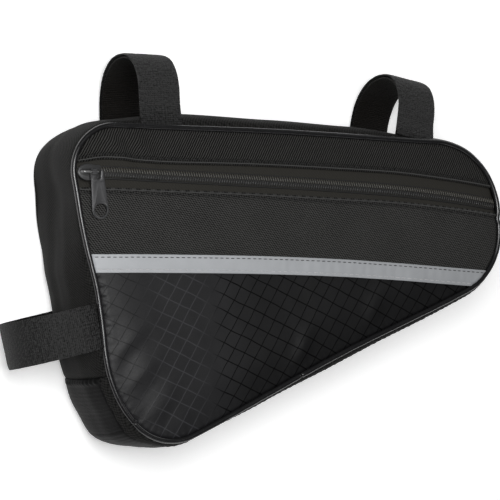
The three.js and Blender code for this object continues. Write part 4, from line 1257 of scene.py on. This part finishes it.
FOCAL_PIXELS = 2228.16
CAMERA_AZIMUTH = 27.43
CAMERA_ELEVATION = -3.914
CAMERA_ROLL = -0.675
CAMERA_DISTANCE = 1328.28
CAMERA_TARGET = (134.40, -65.81, 25.0)
FRAME_PIXELS = 500
SENSOR_WIDTH = 36

FLOOR_HALF = 6
FLOOR_LEVEL = -0.0006
LIGHT_TARGET = (0, 0, 0.03)

# name, place and size in metres, power in watts
SOFTBOXES = [
    ("key_box", (-0.38, 0.1, 0.87), (0.4, 0.3), 5.2),
    ("front_box", (-0.2, 0.0, 1.5), (0.6, 1.0), 5.5),
    ("left_box", (-1.1, 0.2, 0.7), (0.6, 1.0), 0.6),
    ("right_box", (1.1, 0.8, 0.45), (0.9, 0.9), 3.0),
    ("low_box", (0.2, -1.2, 0.35), (1.2, 0.5), 2.2),
]


def camera():
    view = bpy.data.cameras.new("camera")
    view.sensor_width = SENSOR_WIDTH
    view.lens = FOCAL_PIXELS / FRAME_PIXELS * SENSOR_WIDTH
    view.clip_start, view.clip_end = 0.05, 20
    holder = bpy.data.objects.new("camera", view)
    holder.matrix_world = Matrix.Translation(to_metres([CAMERA_TARGET])[0])
    for angle, axis in ((-CAMERA_AZIMUTH, "Y"), (-CAMERA_ELEVATION, "X"), (CAMERA_ROLL, "Z")):
        holder.matrix_world = holder.matrix_world @ Matrix.Rotation(math.radians(angle), 4, axis)
    holder.matrix_world = holder.matrix_world @ Matrix.Translation((0, 0, CAMERA_DISTANCE / 1000))
    show(holder)
    bpy.context.scene.camera = holder


def softbox(name, place, size, power):
    light = bpy.data.lights.new(name, "AREA")
    light.shape = "RECTANGLE"
    light.size, light.size_y = size
    light.energy = power
    holder = bpy.data.objects.new(name, light)
    holder.location = place
    holder.rotation_euler = (Vector(place) - Vector(LIGHT_TARGET)).to_track_quat("Z", "Y").to_euler()
    show(holder)


def stage():
    corners = [(FLOOR_HALF * x, FLOOR_HALF * y, FLOOR_LEVEL) for x, y in ((-1, -1), (1, -1), (1, 1), (-1, 1))]
    mesh = bpy.data.meshes.new("floor")
    mesh.from_pydata(corners, [], [(0, 1, 2, 3)])
    floor = bpy.data.objects.new("floor", mesh)
    show(floor)
    pale = Nodes("pale_floor", (0.9, 0.9, 0.9), 0.9, 0.1)
    pale.feed("Emission Color", (1, 1, 1, 1))
    pale.feed("Emission Strength", 0.42)
    mesh.materials.append(pale.material)
    world = bpy.data.worlds.new("studio")
    world.use_nodes = True
    sky = world.node_tree.nodes["Background"]
    sky.inputs["Color"].default_value = (1, 1, 1, 1)
    sky.inputs["Strength"].default_value = 0.06
    bpy.context.scene.world = world
    bpy.context.scene.view_settings.view_transform = "Standard"
    for row in SOFTBOXES:
        softbox(*row)


front_panels()
strip_piece()
front_stitches()
fold_edges()
zip_tapes()
zip_teeth()
zip_slider()
zip_pull()
piping()
walls()
back_panel()
straps()
camera()
stage()
